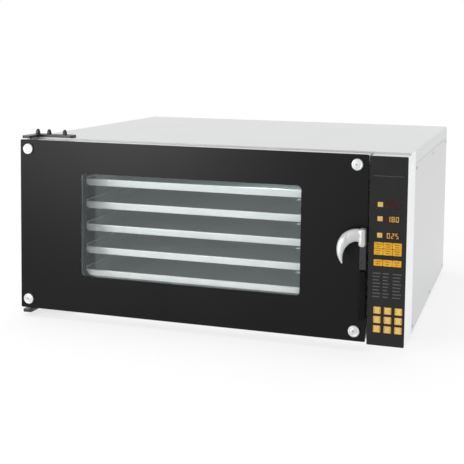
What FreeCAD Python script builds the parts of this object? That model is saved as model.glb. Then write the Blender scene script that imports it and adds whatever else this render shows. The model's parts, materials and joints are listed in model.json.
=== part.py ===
import FreeCAD, Part
import math
import os
import Sketcher

# Electric convection oven for five wide sheet pans.
# Frame: +X to the right seen from the front, +Y to the back, +Z up, millimetres.
# The origin lies on the floor under the middle of the outer box.

SIZES = [
    # Casing
    ("casing_width", 1140.0, "outer width of the casing"),
    ("casing_height", 515.0, "outer height of the casing without its feet"),
    ("body_depth", 970.0, "front frame face to the outside of the rear panel"),
    ("skin", 1.2, "casing sheet"),
    ("frame_sheet", 1.5, "front frame sheet"),
    ("frame_return", 90.0, "depth of the front frame's folded sides"),
    ("bend", 4.0, "outside radius of the casing's folds"),
    ("seam", 0.6, "open joint between casing sheets"),
    ("top_flange", 38.0, "folded-down sides of the top cover"),
    ("side_flange", 12.0, "folded-in edges of the side panels"),
    ("pan_sheet", 1.5, "base pan sheet"),
    ("pan_flange", 25.0, "upright sides of the base pan"),
    ("fit", 0.3, "clearance between fixed pieces"),
    ("running_fit", 0.05, "radial clearance of turning shafts and pins"),
    ("harness_width", 40.0, "cable opening behind the control strip, width"),
    ("harness_height", 180.0, "cable opening behind the control strip, height"),
    # Feet
    ("foot_height", 20.0, "floor to the underside of the casing"),
    ("foot_radius", 22.0, "foot pad radius"),
    ("foot_pad", 9.0, "height of the foot pad's straight side"),
    ("foot_neck", 12.0, "foot neck radius"),
    ("foot_chamfer", 2.0, "edge break under the foot"),
    ("stud_radius", 4.0, "foot stud radius"),
    ("stud_length", 14.0, "foot stud above the base"),
    ("foot_inset", 62.0, "foot centre from the base pan's edges"),
    # Casing screws
    ("screw_head", 4.6, "screw head radius"),
    ("screw_crown", 2.2, "screw head height"),
    ("screw_round", 1.2, "screw head edge break"),
    ("screw_shank", 2.0, "screw shank radius"),
    ("screw_reach", 6.0, "screw shank length"),
    ("screw_inset", 26.0, "screw centre from the ends of a side panel"),
    ("screw_drop", 14.0, "screw centre below the top cover's flange"),
    ("screw_rise", 14.0, "lower screw centre above the casing's underside"),
    # Rear panel
    ("vent_length", 150.0, "rear vent slot length"),
    ("vent_height", 7.0, "rear vent slot height"),
    ("vent_pitch", 18.0, "rear vent slot spacing"),
    ("vent_rows", 11, "rear vent slots in a group"),
    ("vent_rise", 120.0, "lowest vent slot above the casing's underside"),
    ("base_vents", 9, "slots in the base pan"),
    ("base_vent_pitch", 30.0, "base slot spacing"),
    ("rear_reach", 12.0, "exhaust stub behind the rear panel"),
    ("gland_bore", 8.0, "cable gland bore radius"),
    ("gland_wall", 4.0, "cable gland wall"),
    ("gland_nut", 17.0, "cable gland nut radius"),
    ("gland_nut_height", 8.0, "cable gland nut height"),
    ("gland_dome", 10.0, "cable gland dome behind the panel"),
    ("gland_inset", 90.0, "gland from the casing's right side"),
    ("gland_rise", 60.0, "gland above the casing's underside"),
    # Cavity
    ("cavity_offset", 70.0, "cavity middle left of the casing's middle"),
    ("cavity_rise", 59.0, "casing underside to the cavity floor"),
    ("cavity_drop", 71.0, "casing top to the cavity ceiling"),
    ("fan_chamber", 108.0, "baffle face to the cavity's rear wall"),
    ("cavity_sheet", 1.2, "cavity sheet"),
    ("cavity_corner", 15.0, "inner corner radius"),
    ("cavity_flange", 20.0, "mounting flange behind the front frame"),
    ("insulation_wall", 45.0, "insulation thickness"),
    ("gasket_width", 12.0, "door gasket width"),
    ("gasket_inset", 8.0, "cavity mouth to the gasket"),
    # Fans, heaters and baffle
    ("fan_spacing", 340.0, "distance between the two fan axes"),
    ("fan_radius", 115.0, "fan wheel radius"),
    ("fan_depth", 55.0, "blade depth"),
    ("fan_sheet", 1.5, "fan sheet"),
    ("fan_hub", 18.0, "fan hub radius"),
    ("fan_hub_front", 34.0, "hub in front of the wheel's back disc"),
    ("fan_hub_back", 7.0, "hub behind the wheel's back disc"),
    ("fan_eye", 92.0, "inner radius of the fan's front ring"),
    ("blade_start", 66.0, "inner radius of the blades"),
    ("blade_count", 14, "blades on a wheel"),
    ("fan_standoff", 22.0, "wheel back disc to the cavity's rear wall"),
    ("shaft_radius", 7.0, "fan shaft radius"),
    ("shaft_seat", 60.0, "fan shaft length inside its motor"),
    ("shaft_opening", 16.0, "shaft hole in the cavity's rear wall"),
    ("motor_radius", 52.0, "motor body radius"),
    ("motor_length", 105.0, "motor body length"),
    ("motor_bell", 6.0, "step of the motor's end shields"),
    ("motor_bell_length", 21.0, "length of each end shield"),
    ("motor_plate", 150.0, "motor mounting plate"),
    ("motor_plate_sheet", 4.0, "motor mounting plate thickness"),
    ("standoff_radius", 6.0, "motor standoff radius"),
    ("standoff_inset", 14.0, "standoff from the plate's edge"),
    ("heater_radius", 138.0, "ring heater mean radius"),
    ("heater_tube", 4.0, "heater tube radius"),
    ("heater_sleeve", 5.0, "radius of the sleeve on each heater end"),
    ("heater_pitch", 18.0, "spacing of the heater's turns"),
    ("heater_front", 72.0, "foremost turn in front of the cavity's rear wall"),
    ("heater_gap", 6.0, "half opening of the foremost turn, degrees"),
    ("heater_plate_width", 116.0, "heater flange width"),
    ("heater_plate_height", 28.0, "heater flange height"),
    ("heater_plate_lap", 4.5, "heater flange over the edges of its opening"),
    ("heater_plate_sheet", 2.0, "heater flange thickness"),
    ("heater_terminal", 24.0, "heater ends behind its flange"),
    ("baffle_gap", 25.0, "trays to the fan baffle"),
    ("baffle_sheet", 1.2, "baffle sheet"),
    ("baffle_side_gap", 34.0, "air outlet at the baffle's sides"),
    ("baffle_end_gap", 12.0, "air outlet at the baffle's top and bottom"),
    ("baffle_corner", 8.0, "baffle corner radius"),
    ("baffle_post", 5.0, "baffle post radius"),
    ("baffle_post_inset", 22.0, "baffle post from the baffle's edges"),
    ("grille_inner", 26.0, "inner radius of the intake slots"),
    ("grille_outer", 84.0, "outer radius of the intake slots"),
    ("grille_slot", 8.0, "intake slot width"),
    ("grille_count", 16, "intake slots before a fan"),
    # Trays and racks
    ("tray_levels", 5, "tray levels"),
    ("tray_headroom", 74.0, "highest tray's base to the cavity ceiling"),
    ("tray_rise", 94.0, "casing underside to the lowest tray"),
    ("tray_width", 700.0, "tray width over the rim"),
    ("tray_side", 30.0, "tray to the cavity's side walls"),
    ("tray_length", 457.0, "tray length over the rim"),
    ("tray_height", 24.0, "tray height"),
    ("tray_sheet", 1.2, "tray sheet"),
    ("tray_rim", 8.0, "tray rim width"),
    ("tray_slope", 6.0, "inward slope of the tray's sides"),
    ("tray_corner", 26.0, "tray corner radius"),
    ("tray_setback", 30.0, "front frame face to the tray"),
    ("tray_clearance", 0.2, "tray above its rails"),
    ("rail_width", 56.0, "rail reach from the cavity wall"),
    ("rail_sheet", 1.5, "rail sheet"),
    ("rail_lip", 10.0, "turned-up stop behind a tray"),
    ("rail_lead", 10.0, "rail in front of the tray"),
    ("post_width", 20.0, "rack upright width"),
    ("post_sheet", 4.0, "rack upright thickness"),
    ("post_inset", 70.0, "rack upright from the rail ends"),
    # Lamp, probe and exhaust
    ("lamp_setback", 90.0, "front frame face to the lamp axis"),
    ("lamp_offset", 230.0, "lamp axis right of the cavity's middle"),
    ("lamp_radius", 30.0, "lamp opening radius"),
    ("lamp_wall", 1.5, "lamp holder wall"),
    ("lamp_height", 38.0, "lamp holder above the cavity"),
    ("lamp_rim", 6.0, "lamp holder flange"),
    ("lamp_glass_sheet", 3.0, "lamp glass thickness"),
    ("lamp_glass_drop", 9.0, "lamp glass below the ceiling"),
    ("bulb_radius", 8.0, "bulb radius"),
    ("bulb_length", 26.0, "bulb length"),
    ("bulb_base", 10.0, "bulb base radius"),
    ("bulb_base_height", 8.0, "bulb base height"),
    ("probe_radius", 3.0, "temperature probe radius"),
    ("probe_reach", 90.0, "probe inside the cavity"),
    ("probe_nut", 10.0, "probe flange radius"),
    ("probe_nut_height", 6.0, "probe flange height"),
    ("probe_drop", 40.0, "probe below the cavity's ceiling"),
    ("probe_ahead", 12.0, "probe in front of the baffle"),
    ("exhaust_radius", 20.0, "exhaust stub outside radius"),
    ("exhaust_wall", 1.5, "exhaust pipe wall"),
    ("exhaust_step", 2.0, "pipe radius less than the stub's"),
    ("exhaust_drop", 30.0, "exhaust axis below the cavity's ceiling"),
    # Door
    ("door_drop", 3.0, "casing top to the door glass"),
    ("door_rise", 8.0, "door above the casing's underside"),
    ("door_depth", 60.0, "door glass face to the front frame"),
    ("door_gap", 5.0, "door back to the front frame"),
    ("door_sheet", 1.5, "door frame sheet"),
    ("door_inset", 2.0, "door frame inside the glass edge"),
    ("glass_sheet", 6.0, "outer glass"),
    ("glass_corner", 4.0, "outer glass corner radius"),
    ("mask_sheet", 0.4, "black coating behind the outer glass"),
    ("glass_gap", 8.0, "coating to the door frame"),
    ("inner_glass_sheet", 4.0, "inner glass"),
    ("inner_glass_lap", 9.0, "inner glass over the edge of the sight opening"),
    ("collar_gap", 2.0, "inner glass to the sight collar"),
    ("window_inset_left", 77.0, "window inside the cavity's left wall"),
    ("window_inset_right", 25.0, "window inside the cavity's right wall"),
    ("window_inset_low", 58.0, "window above the cavity floor"),
    ("window_inset_high", 28.0, "window below the cavity ceiling"),
    ("window_corner", 12.0, "window corner radius"),
    ("sight_margin", 7.0, "sight opening larger than the window"),
    # Glass caps
    ("cap_radius", 16.0, "glass cap radius"),
    ("cap_height", 8.0, "glass cap height"),
    ("cap_round", 3.0, "glass cap edge radius"),
    ("cap_dimple", 3.0, "glass cap centre dimple radius"),
    ("cap_dimple_depth", 2.0, "glass cap centre dimple depth"),
    ("cap_stem", 5.0, "glass cap stem radius"),
    ("cap_spacer", 11.0, "glass spacer radius"),
    ("cap_block", 9.0, "door corner block thickness"),
    ("cap_block_margin", 12.0, "cap axis to the free edges of its corner block"),
    ("cap_stem_seat", 8.0, "cap stem inside its corner block"),
    ("cap_inset_left", 27.0, "left caps from the door edge"),
    ("cap_inset_right", 30.0, "right caps from the door edge"),
    ("cap_inset_low", 28.0, "lower caps from the door bottom"),
    ("cap_inset_high", 27.0, "upper caps from the door top"),
    # Hinges
    ("hinge_inset", 14.0, "hinge axis from the door's left edge"),
    ("hinge_setback", 36.0, "hinge axis behind the door glass face"),
    ("pin_radius", 5.0, "hinge pin radius"),
    ("pin_seat", 30.0, "hinge pin inside the door"),
    ("bush_radius", 7.5, "hinge bush radius"),
    ("bush_length", 24.0, "hinge bush inside the door"),
    ("bush_collar", 10.0, "hinge bush collar radius"),
    ("strap_sheet", 8.0, "hinge strap thickness"),
    ("strap_arm", 28.0, "hinge strap width at the pin"),
    ("strap_width", 32.0, "hinge strap width on the casing"),
    ("strap_start", 4.0, "strap behind the front frame's face"),
    ("strap_length", 136.0, "hinge strap length"),
    ("strap_corner", 6.0, "hinge strap corner radius"),
    ("strap_nose", 32.0, "hinge strap ahead of the hinge axis"),
    ("strap_edge", 2.0, "strap from the casing's left side"),
    ("bolt_head", 7.5, "hinge bolt head across flats, half"),
    ("low_bolt_height", 7.0, "lower hinge bolt head height"),
    ("top_bolt_height", 15.0, "upper hinge bolt head height"),
    ("bolt_shank", 4.0, "hinge bolt shank radius"),
    ("bolt_tail", 8.0, "hinge bolt inside the casing"),
    ("bolt_first", 14.0, "first hinge bolt from the casing's left side"),
    ("bolt_second", 52.0, "second hinge bolt from the casing's left side"),
    ("bolt_third", 104.0, "third hinge bolt from the casing's left side"),
    # Handle and latch
    ("handle_inset", 9.5, "handle axis from the door's right edge"),
    ("handle_rise", 286.0, "handle axis above the door bottom"),
    ("plate_width", 18.0, "handle plate width"),
    ("plate_above", 25.0, "handle plate above its axis"),
    ("plate_below", 89.0, "handle plate below its axis"),
    ("plate_depth", 10.0, "handle plate thickness"),
    ("plate_corner", 4.0, "handle plate corner radius"),
    ("plate_edge", 2.0, "handle plate front edge radius"),
    ("cover_gap", 4.0, "handle plate to the latch cover"),
    ("cover_height", 132.0, "latch cover height"),
    ("cover_depth", 12.0, "latch cover thickness"),
    ("lever_gap", 2.0, "handle plate to the lever"),
    ("hub_width", 19.0, "lever root width"),
    ("hub_height", 50.0, "lever root height"),
    ("hub_depth", 22.0, "lever root depth"),
    ("hub_corner", 7.0, "lever root corner radius"),
    ("hub_edge", 3.0, "lever root front edge radius"),
    ("horn_centre_left", 14.0, "claw arc centre left of the handle axis"),
    ("horn_centre_drop", 30.0, "claw arc centre below the handle axis"),
    ("horn_root_radius", 37.0, "claw centre line radius at the root"),
    ("horn_tip_radius", 50.0, "claw centre line radius at the tip"),
    ("horn_root_half", 18.0, "half height of the claw at its root"),
    ("horn_tip_half", 2.6, "half height of the claw at its tip"),
    ("horn_root_depth", 9.5, "half depth of the claw at its root"),
    ("horn_tip_depth", 2.0, "half depth of the claw at its tip"),
    ("horn_lift", 22.0, "claw tip further out than its root"),
    ("horn_start", 72.0, "angle of the claw's root section"),
    ("horn_end", 228.0, "angle of the claw's tip section"),
    ("horn_sections", 8, "sections along the claw"),
    ("spindle_radius", 4.5, "handle spindle radius"),
    ("spindle_seat", 12.0, "spindle inside the lever"),
    ("cam_length", 34.0, "latch cam length"),
    ("cam_width", 14.0, "latch cam width"),
    ("cam_sheet", 10.0, "latch cam thickness"),
    ("cam_setback", 3.0, "front frame face to the latch cam"),
    ("keeper_sheet", 1.5, "latch keeper sheet"),
    ("keeper_width", 24.0, "latch keeper width"),
    ("keeper_depth", 20.0, "latch keeper depth behind the frame sheet"),
    ("keeper_flange", 12.0, "latch keeper flange"),
    ("latch_slot", 22.0, "latch slot width in the front frame"),
    # Control strip
    ("strip_gap", 4.0, "door to the control strip"),
    ("strip_rise", 3.0, "control strip above the casing's underside"),
    ("strip_drop", 5.0, "casing top to the control strip"),
    ("strip_width", 99.5, "control strip width"),
    ("strip_sheet", 1.2, "control housing sheet"),
    ("strip_corner", 3.0, "control strip corner radius"),
    ("overlay_sheet", 3.0, "control overlay thickness"),
    ("housing_side_margin", 4.0, "control housing side to its front opening"),
    ("housing_end_margin", 20.0, "control housing end to its front opening"),
    ("board_sheet", 1.6, "circuit board thickness"),
    ("board_setback", 14.0, "overlay back to the circuit board"),
    ("board_margin", 6.0, "circuit board inside the housing walls"),
    ("board_post", 4.0, "circuit board post radius"),
    ("key_width", 20.0, "key width"),
    ("key_height", 19.0, "key height"),
    ("key_corner", 2.5, "key corner radius"),
    ("key_pitch_across", 28.2, "key spacing across"),
    ("key_pitch_up", 25.3, "key spacing up"),
    ("key_left", 26.6, "left key column from the strip's left edge"),
    ("key_rise", 45.0, "lowest key row above the strip's lower edge"),
    ("key_proud", 1.5, "key in front of the overlay"),
    ("key_travel", 1.2, "key travel"),
    ("key_flange", 1.0, "key flange behind the overlay"),
    ("key_flange_sheet", 1.2, "key flange thickness"),
    ("key_stem", 4.0, "key stem radius"),
    ("lens_proud", 0.4, "lamps and displays in front of the overlay"),
    ("lamp_lens_width", 14.0, "indicator lens width"),
    ("lamp_lens_height", 13.0, "indicator lens height"),
    ("lamp_lens_left", 28.8, "indicator lens centre from the strip's left edge"),
    ("display_width", 38.0, "display width"),
    ("display_height", 20.0, "display height"),
    ("display_left", 63.0, "display centre from the strip's left edge"),
    ("readout_top", 379.0, "upper readout above the strip's lower edge"),
    ("readout_middle", 341.0, "middle readout above the strip's lower edge"),
    ("readout_low", 297.0, "lower readout above the strip's lower edge"),
    ("field_left", 51.0, "programme field centre from the strip's left edge"),
    ("field_width", 74.0, "programme field width"),
    ("field_height", 35.0, "programme field height"),
    ("field_rise", 261.5, "programme field centre above the strip's lower edge"),
    ("bar_height", 18.0, "programme bar height"),
    ("bar_rise", 223.5, "programme bar centre above the strip's lower edge"),
    ("lens_corner", 1.5, "lens corner radius"),
]

HEATER_TURNS = 3
KEY_ROWS = 3
KEY_COLUMNS = 3
HORN_THINNING = 1.35
HORN_OPENING = 2.5
HORN_ROUNDNESS = 0.92
BACKWARD = FreeCAD.Rotation(FreeCAD.Vector(1, 0, 0), -90)

doc = FreeCAD.newDocument("ConvectionOven")
sheet = doc.addObject("Spreadsheet::Sheet", "Sizes")
for row, (alias, value, meaning) in enumerate(SIZES, start=1):
    sheet.set(f"A{row}", meaning)
    sheet.set(f"B{row}", str(value))
    sheet.setAlias(f"B{row}", alias)
doc.recompute()


class Size:
    """A number that keeps the sheet formula it comes from."""

    def __init__(self, value, formula):
        self.value = float(value)
        self.formula = formula

    def joined(self, other, sign, value):
        return Size(value, f"({self.formula} {sign} {as_size(other).formula})")

    def __add__(self, other):
        return self.joined(other, "+", self.value + as_size(other).value)

    def __sub__(self, other):
        return self.joined(other, "-", self.value - as_size(other).value)

    def __mul__(self, other):
        return self.joined(other, "*", self.value * as_size(other).value)

    def __truediv__(self, other):
        return self.joined(other, "/", self.value / as_size(other).value)

    def __radd__(self, other):
        return as_size(other) + self

    def __rsub__(self, other):
        return as_size(other) - self

    def __rmul__(self, other):
        return as_size(other) * self

    def __neg__(self):
        return Size(-self.value, f"(-1 * {self.formula})")


def as_size(number):
    return number if isinstance(number, Size) else Size(number, f"({float(number)})")


def cosine(angle):
    angle = as_size(angle)
    return Size(math.cos(math.radians(angle.value)), f"cos({angle.formula} * 1 deg)")


def sine(angle):
    angle = as_size(angle)
    return Size(math.sin(math.radians(angle.value)), f"sin({angle.formula} * 1 deg)")


class Dimensions:
    """The sheet's cells by name."""

    def __init__(self):
        for alias, _, _ in SIZES:
            setattr(self, alias, Size(sheet.get(alias), f"Sizes.{alias}"))


d = Dimensions()
nodes = []


def bind(item, name, number):
    """Ties a property of a document object to the sheet."""
    item.setExpression(name, as_size(number).formula)


def place(item, x, y, z, rotation=None):
    if rotation is not None:
        item.Placement = FreeCAD.Placement(FreeCAD.Vector(), rotation)
    bind(item, "Placement.Base.x", x)
    bind(item, "Placement.Base.y", y)
    bind(item, "Placement.Base.z", z)
    return item


def box(name, low, high):
    item = doc.addObject("Part::Box", name)
    for side, start, end in zip(("Length", "Width", "Height"), low, high):
        bind(item, side, as_size(end) - start)
    return place(item, *low)


def rod(name, start, length, radius, rotation=None):
    """A cylinder from its start point, upright unless turned."""
    item = doc.addObject("Part::Cylinder", name)
    bind(item, "Radius", radius)
    bind(item, "Height", length)
    return place(item, *start, rotation)


def fuse(name, items):
    item = doc.addObject("Part::MultiFuse", name)
    item.Shapes = items
    item.Refine = True
    return item


def group(name, items):
    item = doc.addObject("Part::Compound", name)
    item.Links = items
    return item


def placed(name, source, x, y, z, rotation=None):
    return place(group(name, [source]), x, y, z, rotation)


def node(item):
    """Marks a finished sub-part, whose name is its file's name."""
    nodes.append(item)
    return item


def new_body(name):
    return doc.addObject("PartDesign::Body", name)


def sketch_on(body, role, offset, name):
    """A sketch on one of the body's origin planes, moved along the plane's normal."""
    plane = next(item for item in body.Origin.OriginFeatures if item.Role == role)
    sketch = body.newObject("Sketcher::SketchObject", name)
    sketch.AttachmentSupport = [(plane, "")]
    sketch.MapMode = "FlatFace"
    bind(sketch, "AttachmentOffset.Base.z", offset)
    return sketch


def front_sketch(body, name, y):
    return sketch_on(body, "XZ_Plane", -as_size(y), name)


def level_sketch(body, name, z):
    return sketch_on(body, "XY_Plane", z, name)


def side_sketch(body, name, x):
    return sketch_on(body, "YZ_Plane", x, name)


def fixed_at(geometry, point, x, y):
    """Constraints that hold a point of a sketch, each with its sheet formula."""
    held = []
    for kind, number in (("DistanceX", x), ("DistanceY", y)):
        if number is not None:
            constraint = Sketcher.Constraint(kind, -1, 1, geometry, point, as_size(number).value)
            held.append((constraint, as_size(number).formula))
    return held


def draw(sketch, shapes, links, held):
    """Adds geometry, then its links, then the constraints that the sheet drives."""
    sketch.addGeometry(shapes, False)
    first = sketch.ConstraintCount + len(links)
    sketch.addConstraint(links + [constraint for constraint, _ in held])
    for index, (_, formula) in enumerate(held, start=first):
        sketch.setExpression(f"Constraints[{index}]", formula)


def outline(sketch, points):
    """A closed run of straight lines."""
    first = sketch.GeometryCount
    points = [(as_size(x), as_size(y)) for x, y in points]
    vectors = [FreeCAD.Vector(x.value, y.value, 0) for x, y in points]
    count = len(points)
    shapes = []
    links = []
    held = []
    for index in range(count):
        following = (index + 1) % count
        shapes.append(Part.LineSegment(vectors[index], vectors[following]))
        links.append(Sketcher.Constraint("Coincident", first + index, 2, first + following, 1))
        held += fixed_at(first + index, 1, *points[index])
    draw(sketch, shapes, links, held)


def rectangle(sketch, low, high):
    outline(sketch, [low, (high[0], low[1]), high, (low[0], high[1])])


def rounded_rectangle(sketch, low, high, corner):
    first = sketch.GeometryCount
    corner = as_size(corner)
    x0, y0, x1, y1 = (as_size(number) for number in (*low, *high))
    r = corner.value
    left_x, low_y, right_x, high_y = x0.value, y0.value, x1.value, y1.value
    sides = [
        ((left_x + r, low_y), (right_x - r, low_y), (right_x - r, low_y + r)),
        ((right_x, low_y + r), (right_x, high_y - r), (right_x - r, high_y - r)),
        ((right_x - r, high_y), (left_x + r, high_y), (left_x + r, high_y - r)),
        ((left_x, high_y - r), (left_x, low_y + r), (left_x + r, low_y + r)),
    ]
    quarter = math.pi / 2
    shapes = []
    links = []
    for index, (start, end, middle) in enumerate(sides):
        shapes.append(Part.LineSegment(FreeCAD.Vector(*start, 0), FreeCAD.Vector(*end, 0)))
        round_end = Part.Circle(FreeCAD.Vector(*middle, 0), FreeCAD.Vector(0, 0, 1), r)
        shapes.append(Part.ArcOfCircle(round_end, (index - 1) * quarter, index * quarter))
        links.append(Sketcher.Constraint("Vertical" if index % 2 else "Horizontal", first + 2 * index))
    for index in range(8):
        following = first + (index + 1) % 8
        links.append(Sketcher.Constraint("Tangent", first + index, 2, following, 1))
    for index in (3, 5, 7):
        links.append(Sketcher.Constraint("Equal", first + 1, first + index))
    held = [(Sketcher.Constraint("Radius", first + 1, r), corner.formula)]
    held += fixed_at(first + 6, 1, x0, None)
    held += fixed_at(first + 2, 1, x1, None)
    held += fixed_at(first, 1, None, y0)
    held += fixed_at(first + 4, 1, None, y1)
    draw(sketch, shapes, links, held)


def circle(sketch, centre, radius):
    x, y = (as_size(number) for number in centre)
    radius = as_size(radius)
    shape = Part.Circle(FreeCAD.Vector(x.value, y.value, 0), FreeCAD.Vector(0, 0, 1), radius.value)
    index = sketch.GeometryCount
    held = [(Sketcher.Constraint("Radius", index, radius.value), radius.formula)]
    draw(sketch, [shape], [], held + fixed_at(index, 3, x, y))


def on_front(sketch):
    return sketch.AttachmentSupport[0][0].Role == "XZ_Plane"


def pad(body, sketch, length):
    """Pads along the positive axis of the frame."""
    item = body.newObject("PartDesign::Pad", f"{sketch.Name}_pad")
    item.Profile = sketch
    item.Reversed = on_front(sketch)
    bind(item, "Length", length)
    return item


def pocket(body, sketch, length):
    """Pockets along the positive axis of the frame."""
    item = body.newObject("PartDesign::Pocket", f"{sketch.Name}_pocket")
    item.Profile = sketch
    item.Reversed = not on_front(sketch)
    bind(item, "Length", length)
    return item


def revolve(name, points, upright=True):
    """A turned piece from half its section as (radius, place along the axis).

    The axis is Z, or Y when not upright.
    """
    body = new_body(name)
    maker = front_sketch if upright else level_sketch
    sketch = maker(body, f"{name}_section", 0)
    outline(sketch, points)
    item = body.newObject("PartDesign::Revolution", f"{name}_turned")
    item.Profile = sketch
    item.ReferenceAxis = (sketch, ["V_Axis"])
    item.Angle = 360
    return body


def polar(body, feature, sketch, count):
    """Repeats a feature round the normal through its sketch's own origin."""
    item = body.newObject("PartDesign::PolarPattern", f"{feature.Name}_ring")
    item.Originals = [feature]
    item.Axis = (sketch, ["N_Axis"])
    item.Angle = 360
    bind(item, "Occurrences", count)
    body.Tip = item
    return item


def linear(body, feature, sketch, axis, pitch, count):
    """Repeats a feature along one axis of its sketch."""
    item = body.newObject("PartDesign::LinearPattern", f"{feature.Name}_row")
    item.Originals = [feature]
    item.Direction = (sketch, [axis])
    bind(item, "Occurrences", count)
    bind(item, "Length", pitch * (count - 1))
    body.Tip = item
    return item


def edges_where(shape, test):
    """Names of the edges whose middle point passes the test."""
    names = []
    for index, edge in enumerate(shape.Edges, start=1):
        middle = edge.valueAt((edge.FirstParameter + edge.LastParameter) / 2)
        if test(middle):
            names.append(f"Edge{index}")
    return names


def fillet(body, radius, test):
    doc.recompute()
    base = body.Tip
    item = body.newObject("PartDesign::Fillet", f"{base.Name}_round")
    item.Base = (base, edges_where(base.Shape, test))
    bind(item, "Radius", radius)
    return item


def near(number, size):
    return abs(number - as_size(size).value) < 1e-3


# Main planes

left = -d.casing_width / 2
right = d.casing_width / 2
floor_z = d.foot_height
top_z = floor_z + d.casing_height
handle_reach = d.plate_depth + d.lever_gap + d.hub_depth / 2 + d.horn_lift + d.horn_tip_depth
y_glass = handle_reach - (handle_reach + d.door_depth + d.body_depth + d.rear_reach) / 2
y_frame = y_glass + d.door_depth
y_rear = y_frame + d.body_depth
y_shell = y_frame + d.frame_return + d.seam
y_panel = y_rear - d.skin
y_behind_frame = y_frame + d.frame_sheet

cavity_mid = -d.cavity_offset
cavity_x0 = cavity_mid - d.tray_width / 2 - d.tray_side
cavity_x1 = cavity_mid + d.tray_width / 2 + d.tray_side
cavity_z0 = floor_z + d.cavity_rise
cavity_z1 = top_z - d.cavity_drop
lowest_tray = floor_z + d.tray_rise
tray_pitch = (cavity_z1 - d.tray_headroom - lowest_tray) / (d.tray_levels - 1)
y_tray = y_frame + d.tray_setback
y_baffle = y_tray + d.tray_length + d.baffle_gap
y_cavity_wall = y_baffle + d.fan_chamber
y_cavity_back = y_cavity_wall + d.cavity_sheet
y_insulation_back = y_cavity_back + d.fit + d.insulation_wall

fan_z = (cavity_z0 + cavity_z1) / 2
fan_left_x = cavity_mid - d.fan_spacing / 2
fan_right_x = cavity_mid + d.fan_spacing / 2
FANS = (("left", fan_left_x), ("right", fan_right_x))
y_fan = y_cavity_wall - d.fan_standoff
heater_ends_drop = d.heater_radius * (1 + cosine(d.heater_gap * HEATER_TURNS)) / 2
heater_plate_z = fan_z - heater_ends_drop

door_x0 = left
door_x1 = right - d.strip_width - d.strip_gap
door_z0 = floor_z + d.door_rise
door_z1 = top_z - d.door_drop
window_x0 = cavity_x0 + d.window_inset_left
window_x1 = cavity_x1 - d.window_inset_right
window_z0 = cavity_z0 + d.window_inset_low
window_z1 = cavity_z1 - d.window_inset_high
y_mask = y_glass + d.glass_sheet
y_door_frame = y_mask + d.mask_sheet + d.glass_gap
y_door_back = y_frame - d.door_gap

hinge_x = door_x0 + d.hinge_inset
hinge_y = y_glass + d.hinge_setback
handle_x = door_x1 - d.handle_inset
handle_z = door_z0 + d.handle_rise

strip_x0 = right - d.strip_width
strip_z0 = floor_z + d.strip_rise
strip_z1 = top_z - d.strip_drop
y_overlay_back = y_glass + d.overlay_sheet
y_board = y_overlay_back + d.board_setback

exhaust_x = cavity_mid
exhaust_z = cavity_z1 - d.exhaust_drop
gland_x = right - d.gland_inset
gland_z = floor_z + d.gland_rise
lamp_x = cavity_mid + d.lamp_offset
lamp_y = y_frame + d.lamp_setback
probe_y = y_baffle - d.probe_ahead
probe_z = cavity_z1 - d.probe_drop

base_x0 = left + d.skin
base_x1 = right - d.skin
base_y0 = y_shell + d.skin + d.fit
base_y1 = y_panel - d.skin - d.fit
FEET = [(x, y) for x in (base_x0 + d.foot_inset, base_x1 - d.foot_inset)
        for y in (base_y0 + d.foot_inset, base_y1 - d.foot_inset)]

panel_top = top_z - d.top_flange - d.seam
screw_low = floor_z + d.screw_rise
screw_high = panel_top - d.screw_drop
SCREW_ROWS = (y_shell + d.screw_inset, (y_shell + y_panel) / 2, y_panel - d.screw_inset)

TOP_BOLTS = (d.bolt_first, d.bolt_second, d.bolt_third)
LOW_BOLTS = (d.bolt_second, d.bolt_third)
bolt_y = y_frame + d.strap_start + d.strap_width / 2

CAPS = [(x, z) for x in (door_x0 + d.cap_inset_left, door_x1 - d.cap_inset_right)
        for z in (door_z0 + d.cap_inset_low, door_z1 - d.cap_inset_high)]


# Casing

def make_base_pan():
    body = new_body("base_pan")
    block = level_sketch(body, "base_block", floor_z)
    rectangle(block, (base_x0, base_y0), (base_x1, base_y1))
    pad(body, block, d.pan_flange)
    inside = level_sketch(body, "base_inside", floor_z + d.pan_sheet)
    rectangle(inside, (base_x0 + d.pan_sheet, base_y0), (base_x1 - d.pan_sheet, base_y1))
    pocket(body, inside, d.pan_flange)
    studs = level_sketch(body, "base_stud_holes", floor_z)
    for x, y in FEET:
        circle(studs, (x, y), d.stud_radius + d.fit)
    pocket(body, studs, d.pan_sheet)
    screws = side_sketch(body, "base_screw_holes", base_x0)
    for y in SCREW_ROWS:
        circle(screws, (y, screw_low), d.screw_shank + d.fit)
    pocket(body, screws, d.casing_width)
    vents = level_sketch(body, "base_vent", floor_z)
    rectangle(vents, (cavity_mid - d.base_vent_pitch * (d.base_vents - 1) / 2 - d.vent_height / 2,
                      base_y1 - d.vent_length - d.foot_inset),
              (cavity_mid - d.base_vent_pitch * (d.base_vents - 1) / 2 + d.vent_height / 2,
               base_y1 - d.foot_inset))
    slot = pocket(body, vents, d.pan_sheet)
    linear(body, slot, vents, "H_Axis", d.base_vent_pitch, d.base_vents)
    return node(body)


def make_feet():
    foot = revolve("foot", [
        (0, 0),
        (d.foot_radius - d.foot_chamfer, 0),
        (d.foot_radius, d.foot_chamfer),
        (d.foot_radius, d.foot_pad),
        (d.foot_neck, d.foot_pad + d.foot_chamfer),
        (d.foot_neck, d.foot_height),
        (d.stud_radius, d.foot_height),
        (d.stud_radius, d.foot_height + d.stud_length),
        (0, d.foot_height + d.stud_length),
    ])
    copies = [placed(f"foot_{index}", foot, x, y, 0) for index, (x, y) in enumerate(FEET, start=1)]
    return node(group("feet", copies))


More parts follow.
